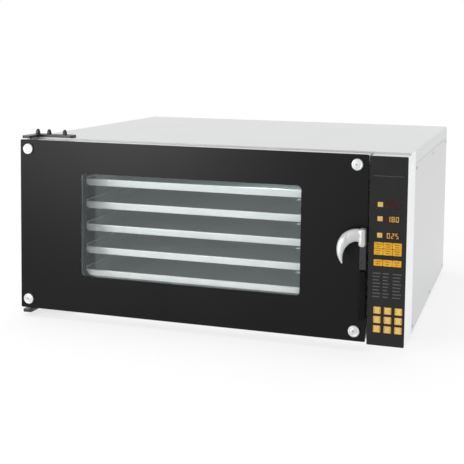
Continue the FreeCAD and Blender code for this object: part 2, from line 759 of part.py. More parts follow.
def make_front_frame():
    body = new_body("front_frame")
    block = front_sketch(body, "frame_block", y_frame)
    rounded_rectangle(block, (left, floor_z), (right, top_z), d.bend)
    pad(body, block, d.frame_return)
    inside = front_sketch(body, "frame_inside", y_behind_frame)
    rounded_rectangle(inside, (left + d.frame_sheet, floor_z + d.frame_sheet),
                      (right - d.frame_sheet, top_z - d.frame_sheet), d.bend - d.frame_sheet)
    pocket(body, inside, d.frame_return)
    mouth = front_sketch(body, "frame_mouth", y_frame)
    rounded_rectangle(mouth, (cavity_x0, cavity_z0), (cavity_x1, cavity_z1), d.cavity_corner)
    slot_half = d.cam_length / 2 + d.fit + d.keeper_sheet / 2
    rectangle(mouth, (handle_x - d.latch_slot / 2, handle_z - slot_half),
              (handle_x + d.latch_slot / 2, handle_z + slot_half))
    harness_x = (strip_x0 + right) / 2
    harness_z = (strip_z0 + strip_z1) / 2
    rectangle(mouth, (harness_x - d.harness_width / 2, harness_z - d.harness_height / 2),
              (harness_x + d.harness_width / 2, harness_z + d.harness_height / 2))
    pocket(body, mouth, d.frame_sheet)
    for name, z, places in (("top", top_z - d.frame_sheet, TOP_BOLTS), ("low", floor_z, LOW_BOLTS)):
        holes = level_sketch(body, f"frame_{name}_holes", z)
        for place_along in places:
            circle(holes, (left + place_along, bolt_y), d.bolt_shank + d.fit)
        pocket(body, holes, d.frame_sheet)
    return node(body)


def make_top_cover():
    body = new_body("top_cover")
    block = front_sketch(body, "cover_block", y_shell)
    rectangle(block, (left, top_z - d.top_flange), (right, top_z))
    pad(body, block, y_panel - y_shell)
    inside = front_sketch(body, "cover_inside", y_shell)
    rectangle(inside, (left + d.skin, top_z - d.top_flange), (right - d.skin, top_z - d.skin))
    pocket(body, inside, y_panel - y_shell)
    along = (y_shell + y_panel) / 2
    fillet(body, d.bend, lambda p: near(p.y, along) and near(p.z, top_z) and near(abs(p.x), right))
    inner_x = right - d.skin
    fillet(body, d.bend - d.skin,
           lambda p: near(p.y, along) and near(p.z, top_z - d.skin) and near(abs(p.x), inner_x))
    return node(body)


def make_side_panel(name, side):
    """A side panel with its front and rear edges folded in; side is -1 left or 1 right."""
    body = new_body(name)
    outer = side * d.casing_width / 2
    inner = outer - side * d.skin
    lip = outer - side * d.side_flange
    plan = level_sketch(body, f"{name}_plan", floor_z)
    outline(plan, [
        (outer, y_shell), (outer, y_panel), (lip, y_panel), (lip, y_panel - d.skin),
        (inner, y_panel - d.skin), (inner, y_shell + d.skin), (lip, y_shell + d.skin), (lip, y_shell),
    ])
    pad(body, plan, panel_top - floor_z)
    holes = side_sketch(body, f"{name}_holes", outer if side < 0 else inner)
    for y in SCREW_ROWS:
        for z in (screw_low, screw_high):
            circle(holes, (y, z), d.screw_shank + d.fit)
    pocket(body, holes, d.skin)
    return node(body)


def make_rear_panel():
    body = new_body("rear_panel")
    block = front_sketch(body, "rear_block", y_panel)
    rounded_rectangle(block, (left, floor_z), (right, top_z), d.bend)
    circle(block, (gland_x, gland_z), d.gland_bore + d.gland_wall + d.fit)
    circle(block, (exhaust_x, exhaust_z), d.exhaust_radius - d.exhaust_step + d.fit)
    pad(body, block, d.skin)
    for name, x in FANS:
        vents = front_sketch(body, f"rear_vent_{name}", y_panel)
        low = floor_z + d.vent_rise
        rectangle(vents, (x - d.vent_length / 2, low), (x + d.vent_length / 2, low + d.vent_height))
        slot = pocket(body, vents, d.skin)
        linear(body, slot, vents, "V_Axis", d.vent_pitch, d.vent_rows)
    return node(body)


def make_casing_screws():
    screw = revolve("casing_screw", [
        (0, -d.screw_reach),
        (d.screw_shank, -d.screw_reach),
        (d.screw_shank, 0),
        (d.screw_head, 0),
        (d.screw_head, d.screw_crown - d.screw_round),
        (d.screw_head - d.screw_round, d.screw_crown),
        (0, d.screw_crown),
    ])
    copies = []
    for side, angle in ((left, -90), (right, 90)):
        turn = FreeCAD.Rotation(FreeCAD.Vector(0, 1, 0), angle)
        for y in SCREW_ROWS:
            for z in (screw_low, screw_high):
                copies.append(placed(f"screw_{len(copies) + 1}", screw, side, y, z, turn))
    return node(group("casing_screws", copies))


# Cavity and what it holds

def cavity_section(sketch, grow):
    """The cavity's inner section, moved out on every side."""
    rounded_rectangle(sketch, (cavity_x0 - grow, cavity_z0 - grow), (cavity_x1 + grow, cavity_z1 + grow),
                      d.cavity_corner + grow)


def make_cavity():
    body = new_body("cavity")
    block = front_sketch(body, "cavity_block", y_behind_frame)
    cavity_section(block, d.cavity_sheet)
    pad(body, block, y_cavity_back - y_behind_frame)
    flange = front_sketch(body, "cavity_flange_plate", y_behind_frame)
    cavity_section(flange, d.cavity_flange)
    pad(body, flange, d.cavity_sheet)
    inside = front_sketch(body, "cavity_inside", y_behind_frame)
    cavity_section(inside, as_size(0))
    pocket(body, inside, y_cavity_wall - y_behind_frame)
    holes = front_sketch(body, "cavity_back_holes", y_cavity_wall)
    for _, x in FANS:
        circle(holes, (x, fan_z), d.shaft_opening)
        rectangle(holes, *heater_opening(x))
    circle(holes, (exhaust_x, exhaust_z), d.exhaust_radius - d.exhaust_step - d.exhaust_wall)
    pocket(body, holes, d.cavity_sheet)
    lamp = level_sketch(body, "cavity_lamp_hole", cavity_z1)
    circle(lamp, (lamp_x, lamp_y), d.lamp_radius)
    pocket(body, lamp, d.cavity_sheet)
    probe = side_sketch(body, "cavity_probe_hole", cavity_x1)
    circle(probe, (probe_y, probe_z), d.probe_radius + d.fit)
    pocket(body, probe, d.cavity_sheet)
    return node(body)


def heater_opening(x):
    """The slot behind a heater's flange, through which its ends pass."""
    half_width = d.heater_plate_width / 2 - d.heater_plate_lap
    half_height = d.heater_plate_height / 2 - d.heater_plate_lap
    return ((x - half_width, heater_plate_z - half_height), (x + half_width, heater_plate_z + half_height))


def make_insulation():
    body = new_body("insulation")
    front = y_behind_frame + d.cavity_sheet + d.fit
    shell = d.cavity_sheet + d.fit
    block = front_sketch(body, "insulation_block", front)
    cavity_section(block, shell + d.insulation_wall)
    pad(body, block, y_insulation_back - front)
    inside = front_sketch(body, "insulation_inside", front)
    cavity_section(inside, shell)
    pocket(body, inside, y_cavity_back + d.fit - front)
    holes = front_sketch(body, "insulation_back_holes", y_cavity_back + d.fit)
    for _, x in FANS:
        circle(holes, (x, fan_z), d.shaft_opening)
        rectangle(holes, *heater_opening(x))
        for across, up in motor_standoffs():
            circle(holes, (x + across, fan_z + up), d.standoff_radius + d.fit)
    circle(holes, (exhaust_x, exhaust_z), d.exhaust_radius - d.exhaust_step + d.fit)
    pocket(body, holes, d.insulation_wall)
    lamp = level_sketch(body, "insulation_lamp_hole", cavity_z1 + d.cavity_sheet)
    circle(lamp, (lamp_x, lamp_y), d.lamp_radius + d.lamp_rim + d.fit)
    pocket(body, lamp, d.insulation_wall + shell)
    probe = side_sketch(body, "insulation_probe_hole", cavity_x1 + d.cavity_sheet)
    circle(probe, (probe_y, probe_z), d.probe_nut + d.fit)
    pocket(body, probe, d.insulation_wall + shell)
    return node(body)


def motor_standoffs():
    reach = d.motor_plate / 2 - d.standoff_inset
    return [(x, z) for x in (-reach, reach) for z in (-reach, reach)]


def make_motors():
    """A turned motor body on a square plate, with four standoffs to the cavity's back."""
    body = new_body("motor_form")
    plate_y = y_insulation_back - y_cavity_back
    plate = front_sketch(body, "motor_plate_outline", plate_y)
    half = d.motor_plate / 2
    rounded_rectangle(plate, (-half, -half), (half, half), d.standoff_radius)
    pad(body, plate, d.motor_plate_sheet)
    legs = front_sketch(body, "motor_standoff_rings", 0)
    for across, up in motor_standoffs():
        circle(legs, (across, up), d.standoff_radius)
    pad(body, legs, plate_y)
    body_y = plate_y + d.motor_plate_sheet
    for index, (radius, start, length) in enumerate((
        (d.motor_radius - d.motor_bell, body_y, d.motor_length),
        (d.motor_radius, body_y + d.motor_bell_length, d.motor_length - 2 * d.motor_bell_length),
    ), start=1):
        drum = front_sketch(body, f"motor_drum_{index}", start)
        circle(drum, (0, 0), radius)
        pad(body, drum, length)
    bore = front_sketch(body, "motor_bore", plate_y)
    circle(bore, (0, 0), d.shaft_radius + d.running_fit)
    pocket(body, bore, d.shaft_seat + d.fit)
    for name, x in FANS:
        node(placed(f"fan_motor_{name}", body, x, y_cavity_back, fan_z))


def make_fans():
    """A stamped wheel: back disc, radial blades, front ring, hub and shaft. Its back disc is at Y 0."""
    shaft_end = y_insulation_back + d.shaft_seat - y_fan
    body = revolve("fan_form", [
        (0, -d.fan_hub_front),
        (d.fan_hub, -d.fan_hub_front),
        (d.fan_hub, -d.fan_sheet),
        (d.fan_radius, -d.fan_sheet),
        (d.fan_radius, 0),
        (d.fan_hub, 0),
        (d.fan_hub, d.fan_hub_back),
        (d.shaft_radius, d.fan_hub_back),
        (d.shaft_radius, shaft_end),
        (0, shaft_end),
    ], upright=False)
    blade_front = -d.fan_sheet - d.fan_depth
    ring = front_sketch(body, "fan_front_ring", blade_front)
    circle(ring, (0, 0), d.fan_radius)
    circle(ring, (0, 0), d.fan_eye)
    blade = front_sketch(body, "fan_blade", blade_front)
    rectangle(blade, (d.blade_start, -d.fan_sheet / 2), (d.fan_radius - d.fan_sheet, d.fan_sheet / 2))
    first_blade = pad(body, blade, d.fan_depth)
    polar(body, first_blade, blade, d.blade_count)
    pad(body, ring, d.fan_sheet)
    for name, x in FANS:
        node(placed(f"fan_wheel_{name}", body, x, y_fan, fan_z))


def make_heaters():
    """Three open turns round a fan, whose sleeved ends run straight back through one flange."""
    pieces = []
    plate_front = -d.heater_plate_sheet
    half_width = d.heater_plate_width / 2
    half_height = d.heater_plate_height / 2
    centre_z = -heater_ends_drop
    pieces.append(box("heater_plate", (-half_width, plate_front, centre_z - half_height),
                      (half_width, 0, centre_z + half_height)))
    for turn in range(HEATER_TURNS):
        gap = d.heater_gap * (turn + 1)
        y = d.heater_pitch * turn - d.heater_front
        ring = doc.addObject("Part::Torus", f"heater_turn_{turn + 1}")
        bind(ring, "Radius1", d.heater_radius)
        bind(ring, "Radius2", d.heater_tube)
        bind(ring, "Angle3", 360 - 2 * gap)
        start = FreeCAD.Rotation(FreeCAD.Vector(0, 0, 1), 90 + gap.value)
        pieces.append(place(ring, 0, y, 0, BACKWARD * start))
        for side in (-1, 1):
            x = side * d.heater_radius * sine(gap)
            z = -d.heater_radius * cosine(gap)
            name = f"heater_end_{turn + 1}_{'left' if side < 0 else 'right'}"
            front = y - d.heater_sleeve
            pieces.append(rod(name, (x, front, z), d.heater_terminal - front, d.heater_sleeve, BACKWARD))
    form = fuse("heater_form", pieces)
    for name, x in FANS:
        node(placed(f"heater_{name}", form, x, y_cavity_wall, fan_z))


def make_fan_baffle():
    body = new_body("fan_baffle")
    low = (cavity_x0 + d.baffle_side_gap, cavity_z0 + d.baffle_end_gap)
    high = (cavity_x1 - d.baffle_side_gap, cavity_z1 - d.baffle_end_gap)
    plate = front_sketch(body, "baffle_plate", y_baffle)
    rounded_rectangle(plate, low, high, d.baffle_corner)
    pad(body, plate, d.baffle_sheet)
    posts = front_sketch(body, "baffle_posts", y_baffle + d.baffle_sheet)
    for x in (low[0] + d.baffle_post_inset, high[0] - d.baffle_post_inset):
        for z in (low[1] + d.baffle_post_inset, high[1] - d.baffle_post_inset):
            circle(posts, (x, z), d.baffle_post)
    pad(body, posts, y_cavity_wall - y_baffle - d.baffle_sheet)
    for name, x in FANS:
        slots = front_sketch(body, f"baffle_slot_{name}", y_baffle)
        bind(slots, "AttachmentOffset.Base.x", x)
        bind(slots, "AttachmentOffset.Base.y", fan_z)
        rounded_rectangle(slots, (d.grille_inner, -d.grille_slot / 2), (d.grille_outer, d.grille_slot / 2),
                          d.grille_slot / 2 - d.fit)
        slot = pocket(body, slots, d.baffle_sheet)
        polar(body, slot, slots, d.grille_count)
    return node(body)


def tray_z(level):
    return lowest_tray + tray_pitch * level


def make_rack(name, wall, side):
    """Two uprights on a cavity wall with a folded rail per level; side points into the cavity."""
    pieces = []
    rail_front = y_tray - d.rail_lead
    rail_back = y_tray + d.tray_length + d.fit

    def wall_box(label, near_wall, far, y0, y1, z0, z1):
        inner, outer = wall + side * as_size(near_wall), wall + side * as_size(far)
        x0, x1 = (inner, outer) if side > 0 else (outer, inner)
        pieces.append(box(f"{name}_{label}", (x0, y0, z0), (x1, y1, z1)))

    post_top = tray_z(int(d.tray_levels.value) - 1) + d.tray_height
    for label, y in (("front_post", rail_front + d.post_inset),
                     ("rear_post", rail_back - d.post_inset - d.post_width)):
        wall_box(label, 0, d.post_sheet, y, y + d.post_width, cavity_z0 + d.cavity_corner, post_top)
    for level in range(int(d.tray_levels.value)):
        rail_top = tray_z(level) - d.tray_clearance
        wall_box(f"rail_{level + 1}", d.post_sheet, d.rail_width, rail_front, rail_back + d.rail_sheet,
                 rail_top - d.rail_sheet, rail_top)
        wall_box(f"rail_{level + 1}_web", d.post_sheet, d.post_sheet + d.rail_sheet, rail_front,
                 rail_back + d.rail_sheet, rail_top - d.rail_sheet - d.rail_lip, rail_top)
        wall_box(f"rail_{level + 1}_stop", d.post_sheet, d.rail_width, rail_back,
                 rail_back + d.rail_sheet, rail_top - d.rail_sheet, rail_top + d.rail_lip)
    return node(fuse(name, pieces))


def make_trays():
    """A pressed sheet pan with sloping sides, round corners and a flat rim."""
    body = new_body("tray_form")
    half_width = d.tray_width / 2
    length = d.tray_length

    def section(name, z, inset, corner):
        sketch = level_sketch(body, name, z)
        rounded_rectangle(sketch, (-half_width + inset, inset), (half_width - inset, length - inset), corner)
        return sketch

    def loft(kind, low, high):
        item = body.newObject(kind, f"{low.Name}_loft")
        item.Profile = low
        item.Sections = [high]

    foot = d.tray_rim + d.tray_slope
    loft("PartDesign::AdditiveLoft",
         section("tray_outer_low", 0, foot, d.tray_corner - foot / 2),
         section("tray_outer_high", d.tray_height, d.tray_rim, d.tray_corner - d.tray_rim / 2))
    rim = level_sketch(body, "tray_rim_ring", d.tray_height - d.tray_sheet)
    rounded_rectangle(rim, (-half_width, 0), (half_width, length), d.tray_corner)
    pad(body, rim, d.tray_sheet)
    loft("PartDesign::SubtractiveLoft",
         section("tray_inner_low", d.tray_sheet, foot + d.tray_sheet,
                 d.tray_corner - foot / 2 - d.tray_sheet),
         section("tray_inner_high", d.tray_height, d.tray_rim + d.tray_sheet,
                 d.tray_corner - d.tray_rim / 2 - d.tray_sheet))
    for level in range(int(d.tray_levels.value)):
        node(placed(f"tray_{level + 1}", body, cavity_mid, y_tray, tray_z(level)))


def make_lamp():
    """A cup above the cavity's ceiling with a bulb in it and a glass dish below."""
    ceiling = cavity_z1 + d.cavity_sheet
    cup_top = d.lamp_height
    inner = d.lamp_radius - d.lamp_wall
    holder = revolve("lamp_holder_form", [
        (inner, 0), (d.lamp_radius + d.lamp_rim, 0), (d.lamp_radius + d.lamp_rim, d.lamp_wall),
        (d.lamp_radius, d.lamp_wall), (d.lamp_radius, cup_top), (0, cup_top),
        (0, cup_top - d.lamp_wall), (inner, cup_top - d.lamp_wall),
    ])
    node(placed("lamp_holder", holder, lamp_x, lamp_y, ceiling))
    bulb_top = cup_top - d.lamp_wall
    bulb_low = bulb_top - d.bulb_base_height
    bulb = revolve("lamp_bulb_form", [
        (0, bulb_top), (d.bulb_base, bulb_top), (d.bulb_base, bulb_low), (d.bulb_radius, bulb_low),
        (d.bulb_radius, bulb_top - d.bulb_length + d.bulb_radius / 2),
        (d.bulb_radius / 2, bulb_top - d.bulb_length), (0, bulb_top - d.bulb_length),
    ])
    node(placed("lamp_bulb", bulb, lamp_x, lamp_y, ceiling))
    rim = d.lamp_radius + d.lamp_rim
    plug = d.lamp_radius - d.lamp_wall
    glass = revolve("lamp_glass_form", [
        (0, -d.lamp_glass_drop), (plug, -d.lamp_glass_drop), (rim, -d.lamp_glass_sheet), (rim, 0),
        (plug, 0), (plug - d.lamp_glass_sheet, -d.lamp_glass_drop + d.lamp_glass_sheet),
        (0, -d.lamp_glass_drop + d.lamp_glass_sheet),
    ])
    node(placed("lamp_glass", glass, lamp_x, lamp_y, cavity_z1))


def make_temperature_probe():
    out = d.cavity_sheet
    probe = revolve("probe_form", [
        (0, -d.probe_reach), (d.probe_radius, -d.probe_reach), (d.probe_radius, out), (d.probe_nut, out),
        (d.probe_nut, out + d.probe_nut_height), (d.probe_radius, out + d.probe_nut_height),
        (d.probe_radius, out + d.insulation_wall), (0, out + d.insulation_wall),
    ])
    sideways = FreeCAD.Rotation(FreeCAD.Vector(0, 1, 0), 90)
    return node(placed("temperature_probe", probe, cavity_x1, probe_y, probe_z, sideways))


def make_exhaust_pipe():
    pipe = d.exhaust_radius - d.exhaust_step
    bore = pipe - d.exhaust_wall
    stub = y_rear - y_cavity_back
    form = revolve("exhaust_form", [
        (bore, 0), (pipe, 0), (pipe, stub), (d.exhaust_radius, stub),
        (d.exhaust_radius, stub + d.rear_reach), (bore, stub + d.rear_reach),
    ], upright=False)
    return node(placed("exhaust_pipe", form, exhaust_x, y_cavity_back, exhaust_z))


def make_cable_gland():
    """A bored gland through the rear panel, with a nut inside and a rounded cap outside."""
    outer = d.gland_bore + d.gland_wall
    nut = -d.skin
    form = revolve("gland_form", [
        (d.gland_bore, nut - d.gland_nut_height), (d.gland_nut, nut - d.gland_nut_height), (d.gland_nut, nut),
        (outer, nut), (outer, 0), (d.gland_nut, 0), (d.gland_nut, d.gland_dome / 2),
        (outer, d.gland_dome), (d.gland_bore, d.gland_dome),
    ], upright=False)
    return node(placed("cable_gland", form, gland_x, y_rear, gland_z))


def make_door_gasket():
    body = new_body("door_gasket")
    ring = front_sketch(body, "gasket_ring", y_frame - d.door_gap + d.fit)
    cavity_section(ring, d.gasket_inset)
    cavity_section(ring, d.gasket_inset + d.gasket_width)
    pad(body, ring, d.door_gap - d.fit)
    return node(body)


# Door

def make_door_glass():
    body = new_body("door_glass")
    pane = front_sketch(body, "glass_pane", y_glass)
    rounded_rectangle(pane, (door_x0, door_z0), (door_x1, door_z1), d.glass_corner)
    for x, z in CAPS:
        circle(pane, (x, z), d.cap_stem + d.fit)
    circle(pane, (handle_x, handle_z), d.spindle_radius + d.fit)
    pad(body, pane, d.glass_sheet)
    return node(body)


def make_door_mask():
    body = new_body("door_mask")
    coat = front_sketch(body, "mask_coat", y_mask)
    rounded_rectangle(coat, (door_x0, door_z0), (door_x1, door_z1), d.glass_corner)
    rounded_rectangle(coat, (window_x0, window_z0), (window_x1, window_z1), d.window_corner)
    for x, z in CAPS:
        circle(coat, (x, z), d.cap_stem + d.fit)
    circle(coat, (handle_x, handle_z), d.spindle_radius + d.fit)
    pad(body, coat, d.mask_sheet)
    return node(body)


def window_section(sketch, grow):
    """The window's outline, moved out on every side."""
    rounded_rectangle(sketch, (window_x0 - grow, window_z0 - grow), (window_x1 + grow, window_z1 + grow),
                      d.window_corner + grow)


def make_door_frame():
    """A folded door pan, open to the glass, with a sight collar and four corner blocks for the caps."""
    body = new_body("door_frame")
    low = (door_x0 + d.door_inset, door_z0 + d.door_inset)
    high = (door_x1 - d.door_inset, door_z1 - d.door_inset)
    depth = y_door_back - y_door_frame
    block = front_sketch(body, "door_block", y_door_frame)
    rounded_rectangle(block, low, high, d.glass_corner)
    pad(body, block, depth)
    inside = front_sketch(body, "door_inside", y_door_frame)
    rounded_rectangle(inside, (low[0] + d.door_sheet, low[1] + d.door_sheet),
                      (high[0] - d.door_sheet, high[1] - d.door_sheet), d.glass_corner - d.door_sheet)
    pocket(body, inside, depth - d.door_sheet)
    glass_edge = d.sight_margin + d.inner_glass_lap + d.collar_gap
    collar = front_sketch(body, "door_collar", y_door_frame)
    window_section(collar, glass_edge)
    window_section(collar, glass_edge + d.door_sheet)
    pad(body, collar, depth - d.door_sheet)
    blocks = front_sketch(body, "door_corner_blocks", y_door_frame)
    wall = d.door_sheet / 2
    margin = d.cap_block_margin
    (cap_x0, cap_z0), (cap_x1, cap_z1) = CAPS[0], CAPS[-1]
    for x0, x1 in ((low[0] + wall, cap_x0 + margin), (cap_x1 - margin, high[0] - wall)):
        for z0, z1 in ((low[1] + wall, cap_z0 + margin), (cap_z1 - margin, high[1] - wall)):
            rectangle(blocks, (x0, z0), (x1, z1))
    pad(body, blocks, d.cap_block)
    seats = front_sketch(body, "door_cap_seats", y_door_frame)
    for x, z in CAPS:
        circle(seats, (x, z), d.cap_stem + d.fit)
    pocket(body, seats, d.cap_stem_seat + d.fit)
    sight = front_sketch(body, "door_sight", y_door_back - d.door_sheet)
    window_section(sight, d.sight_margin)
    circle(sight, (handle_x, handle_z), d.spindle_radius + d.running_fit)
    pocket(body, sight, d.door_sheet)
    for name, z in (("low", low[1]), ("high", high[1] - d.door_sheet)):
        bush = level_sketch(body, f"door_bush_{name}", z)
        circle(bush, (hinge_x, hinge_y), d.bush_radius + d.fit)
        pocket(body, bush, d.door_sheet)
    return node(body)


def make_inner_glass():
    body = new_body("inner_glass")
    pane = front_sketch(body, "inner_pane", y_door_back - d.door_sheet - d.inner_glass_sheet)
    window_section(pane, d.sight_margin + d.inner_glass_lap)
    pad(body, pane, d.inner_glass_sheet)
    return node(body)


def make_glass_caps():
    """Domed caps with a dimple; their stems pass the glass and a spacer and end in the corner blocks."""
    glass = d.glass_sheet + d.mask_sheet
    stem_end = glass + d.glass_gap + d.cap_stem_seat
    form = revolve("cap_form", [
        (0, d.cap_dimple_depth - d.cap_height),
        (d.cap_dimple, d.cap_dimple_depth - d.cap_height),
        (d.cap_dimple, -d.cap_height),
        (d.cap_radius - d.cap_round, -d.cap_height),
        (d.cap_radius, d.cap_round - d.cap_height),
        (d.cap_radius, 0),
        (d.cap_stem, 0),
        (d.cap_stem, glass),
        (d.cap_spacer, glass),
        (d.cap_spacer, glass + d.glass_gap),
        (d.cap_stem, glass + d.glass_gap),
        (d.cap_stem, stem_end),
        (0, stem_end),
    ], upright=False)
    copies = [placed(f"cap_{index}", form, x, y_glass, z) for index, (x, z) in enumerate(CAPS, start=1)]
    return node(group("glass_caps", copies))


def make_hinge_bushes():
    """Flanged bushes in the door's top and bottom; the lower collar rests on its strap."""
    bore = d.pin_radius + d.running_fit
    top_wall = door_z1 - d.door_inset
    upper = revolve("bush_upper_form", [
        (bore, -d.bush_length), (d.bush_radius, -d.bush_length), (d.bush_radius, 0), (d.bush_collar, 0),
        (d.bush_collar, d.door_inset), (bore, d.door_inset),
    ])
    collar = d.door_inset + d.door_rise - d.fit
    lower = revolve("bush_lower_form", [
        (bore, d.bush_length), (bore, -collar), (d.bush_collar, -collar), (d.bush_collar, 0),
        (d.bush_radius, 0), (d.bush_radius, d.bush_length),
    ])
    return node(group("hinge_bushes", [
        placed("bush_upper", upper, hinge_x, hinge_y, top_wall),
        placed("bush_lower", lower, hinge_x, hinge_y, door_z0 + d.door_inset),
    ]))


def make_strap(name, z, pin_start, pin_length, bolts):
    """An angled strap on the casing with an arm over the door and its pin."""
    body = new_body(name)
    x0 = left + d.strap_edge
    arm = x0 + d.strap_arm
    front = hinge_y - d.strap_nose
    bar = y_frame + d.strap_start
    back = bar + d.strap_width
    end = left + d.strap_length
    plan = level_sketch(body, f"{name}_plan", z)
    outline(plan, [(x0, front), (arm, front), (arm, bar), (end, bar), (end, back), (x0, back)])
    pad(body, plan, d.strap_sheet)
    fillet(body, d.strap_corner, lambda p: near(p.z, z + d.strap_sheet / 2) and (
        near(p.y, front) or near(p.x, end) or (near(p.x, x0) and near(p.y, back))))
    holes = level_sketch(body, f"{name}_holes", z)
    for along in bolts:
        circle(holes, (left + along, bolt_y), d.bolt_shank + d.fit)
    pocket(body, holes, d.strap_sheet)
    pin = level_sketch(body, f"{name}_pin", pin_start)
    circle(pin, (hinge_x, hinge_y), d.pin_radius)
    pad(body, pin, pin_length)
    return node(body)


def make_bolt(name, head_height):
    """A six-sided bolt head on a strap, with its shank through the casing."""
    body = new_body(name)
    head = level_sketch(body, f"{name}_outline", 0)
    corner = d.bolt_head / cosine(30)
    outline(head, [(corner * cosine(60 * index), corner * sine(60 * index)) for index in range(6)])
    pad(body, head, head_height)
    shank = level_sketch(body, f"{name}_shank", -d.strap_sheet - d.bolt_tail)
    circle(shank, (0, 0), d.bolt_shank)
    pad(body, shank, d.strap_sheet + d.bolt_tail)
    return body


def make_hinge_bolts():
    """Tall heads on the upper strap, and low ones that clear the floor under the lower strap."""
    over = FreeCAD.Rotation(FreeCAD.Vector(1, 0, 0), 180)
    rows = (
        (make_bolt("top_bolt", d.top_bolt_height), top_z + d.strap_sheet, TOP_BOLTS, None),
        (make_bolt("low_bolt", d.low_bolt_height), floor_z - d.strap_sheet, LOW_BOLTS, over),
    )
    copies = []
    for bolt, z, places, turn in rows:
        for along in places:
            copies.append(placed(f"hinge_bolt_{len(copies) + 1}", bolt, left + along, bolt_y, z, turn))
    return node(group("hinge_bolts", copies))


# Handle and latch

def make_edge_plate(name, z0, z1, depth, bore):
    """A long plate on the glass at the door's free edge."""
    body = new_body(name)
    half = d.plate_width / 2
    face = front_sketch(body, f"{name}_face", y_glass - depth)
    rounded_rectangle(face, (handle_x - half, z0), (handle_x + half, z1), d.plate_corner)
    if bore:
        circle(face, (handle_x, handle_z), d.spindle_radius + d.running_fit)
    pad(body, face, depth)
    front = y_glass - depth
    fillet(body, d.plate_edge, lambda p: near(p.y, front) and
           math.hypot(p.x - handle_x.value, p.z - handle_z.value) > half.value)
    return node(body)


def make_lever():
    """A chrome claw: a root block on the spindle and a horn that tapers along an opening arc."""
    body = new_body("handle_lever")
    lever_back = y_glass - d.plate_depth - d.lever_gap
    lever_front = lever_back - d.hub_depth
    half_width = d.hub_width / 2
    half_height = d.hub_height / 2
    root = front_sketch(body, "lever_root", lever_front)
    rounded_rectangle(root, (handle_x - half_width, handle_z - half_height),
                      (handle_x + half_width, handle_z + half_height), d.hub_corner)
    pad(body, root, d.hub_depth)
    fillet(body, d.hub_edge, lambda p: near(p.y, lever_front))
    centre_x = handle_x - d.horn_centre_left
    centre_z = handle_z - d.horn_centre_drop
    y_root = lever_back - d.hub_depth / 2
    count = int(d.horn_sections.value)
    sections = []
    for index in range(count):
        share = index / (count - 1)
        angle = d.horn_start + (d.horn_end - d.horn_start) * share
        thinning = share ** HORN_THINNING
        radius = d.horn_root_radius + (d.horn_tip_radius - d.horn_root_radius) * share ** HORN_OPENING
        half = d.horn_root_half + (d.horn_tip_half - d.horn_root_half) * thinning
        depth = d.horn_root_depth + (d.horn_tip_depth - d.horn_root_depth) * thinning
        section = level_sketch(body, f"horn_section_{index + 1}", 0)
        turn = FreeCAD.Rotation(FreeCAD.Vector(0, 1, 0), -angle.value)
        section.AttachmentOffset = FreeCAD.Placement(FreeCAD.Vector(), turn)
        bind(section, "AttachmentOffset.Base.x", centre_x + radius * cosine(angle))
        bind(section, "AttachmentOffset.Base.y", y_root - d.horn_lift * share)
        bind(section, "AttachmentOffset.Base.z", centre_z + radius * sine(angle))
        rounded_rectangle(section, (-half, -depth), (half, depth), depth * HORN_ROUNDNESS)
        sections.append(section)
    horn = body.newObject("PartDesign::AdditiveLoft", "lever_horn")
    horn.Profile = sections[0]
    horn.Sections = sections[1:]
    seat = front_sketch(body, "lever_seat", lever_back - d.spindle_seat - d.running_fit)
    circle(seat, (handle_x, handle_z), d.spindle_radius + d.running_fit)
    pocket(body, seat, d.spindle_seat + d.running_fit)
    return node(body)


def make_spindle():
    """The handle's shaft through the door, with an oval cam at its inner end."""
    body = new_body("handle_spindle")
    start = y_glass - d.plate_depth - d.lever_gap - d.spindle_seat
    cam_start = y_frame + d.cam_setback
    shaft = front_sketch(body, "spindle_ring", start)
    circle(shaft, (handle_x, handle_z), d.spindle_radius)
    pad(body, shaft, cam_start - start)
    cam = front_sketch(body, "cam_outline", cam_start)
    half_width = d.cam_width / 2
    half_length = d.cam_length / 2
    rounded_rectangle(cam, (handle_x - half_width, handle_z - half_length),
                      (handle_x + half_width, handle_z + half_length), half_width - d.fit)
    pad(body, cam, d.cam_sheet)
    return node(body)


def make_latch_keeper():
    """A folded steel clip behind the front frame; its two leaves grip the cam's ends."""
    body = new_body("latch_keeper")
    gap = d.cam_length / 2 + d.fit
    leaf = gap + d.keeper_sheet
    wing = leaf + d.keeper_flange
    front = y_behind_frame
    step = front + d.keeper_sheet
    back = front + d.keeper_depth
    web = back - d.keeper_sheet
    profile = side_sketch(body, "keeper_profile", handle_x - d.keeper_width / 2)
    outline(profile, [
        (front, handle_z + wing), (front, handle_z + gap), (web, handle_z + gap), (web, handle_z - gap),
        (front, handle_z - gap), (front, handle_z - wing), (step, handle_z - wing), (step, handle_z - leaf),
        (back, handle_z - leaf), (back, handle_z + leaf), (step, handle_z + leaf), (step, handle_z + wing),
    ])
    pad(body, profile, d.keeper_width)
    return node(body)


# Control strip

def key_place(row_down, column):
    return (strip_x0 + d.key_left + d.key_pitch_across * column,
            strip_z0 + d.key_rise + d.key_pitch_up * (KEY_ROWS - 1 - row_down))


KEYS = [key_place(row_down, column) for row_down in range(KEY_ROWS) for column in range(KEY_COLUMNS)]
READOUTS = (d.readout_top, d.readout_middle, d.readout_low)
LAMP_LENSES = [(strip_x0 + d.lamp_lens_left, strip_z0 + rise, d.lamp_lens_width, d.lamp_lens_height)
               for rise in READOUTS]
DISPLAYS = [(strip_x0 + d.display_left, strip_z0 + rise, d.display_width, d.display_height)
            for rise in READOUTS]
FIELDS = [(strip_x0 + d.field_left, strip_z0 + d.field_rise, d.field_width, d.field_height),
          (strip_x0 + d.field_left, strip_z0 + d.bar_rise, d.field_width, d.bar_height)]


def lens_outline(sketch, x, z, width, height, grow, corner):
    rounded_rectangle(sketch, (x - width / 2 - grow, z - height / 2 - grow),
                      (x + width / 2 + grow, z + height / 2 + grow), corner + grow)


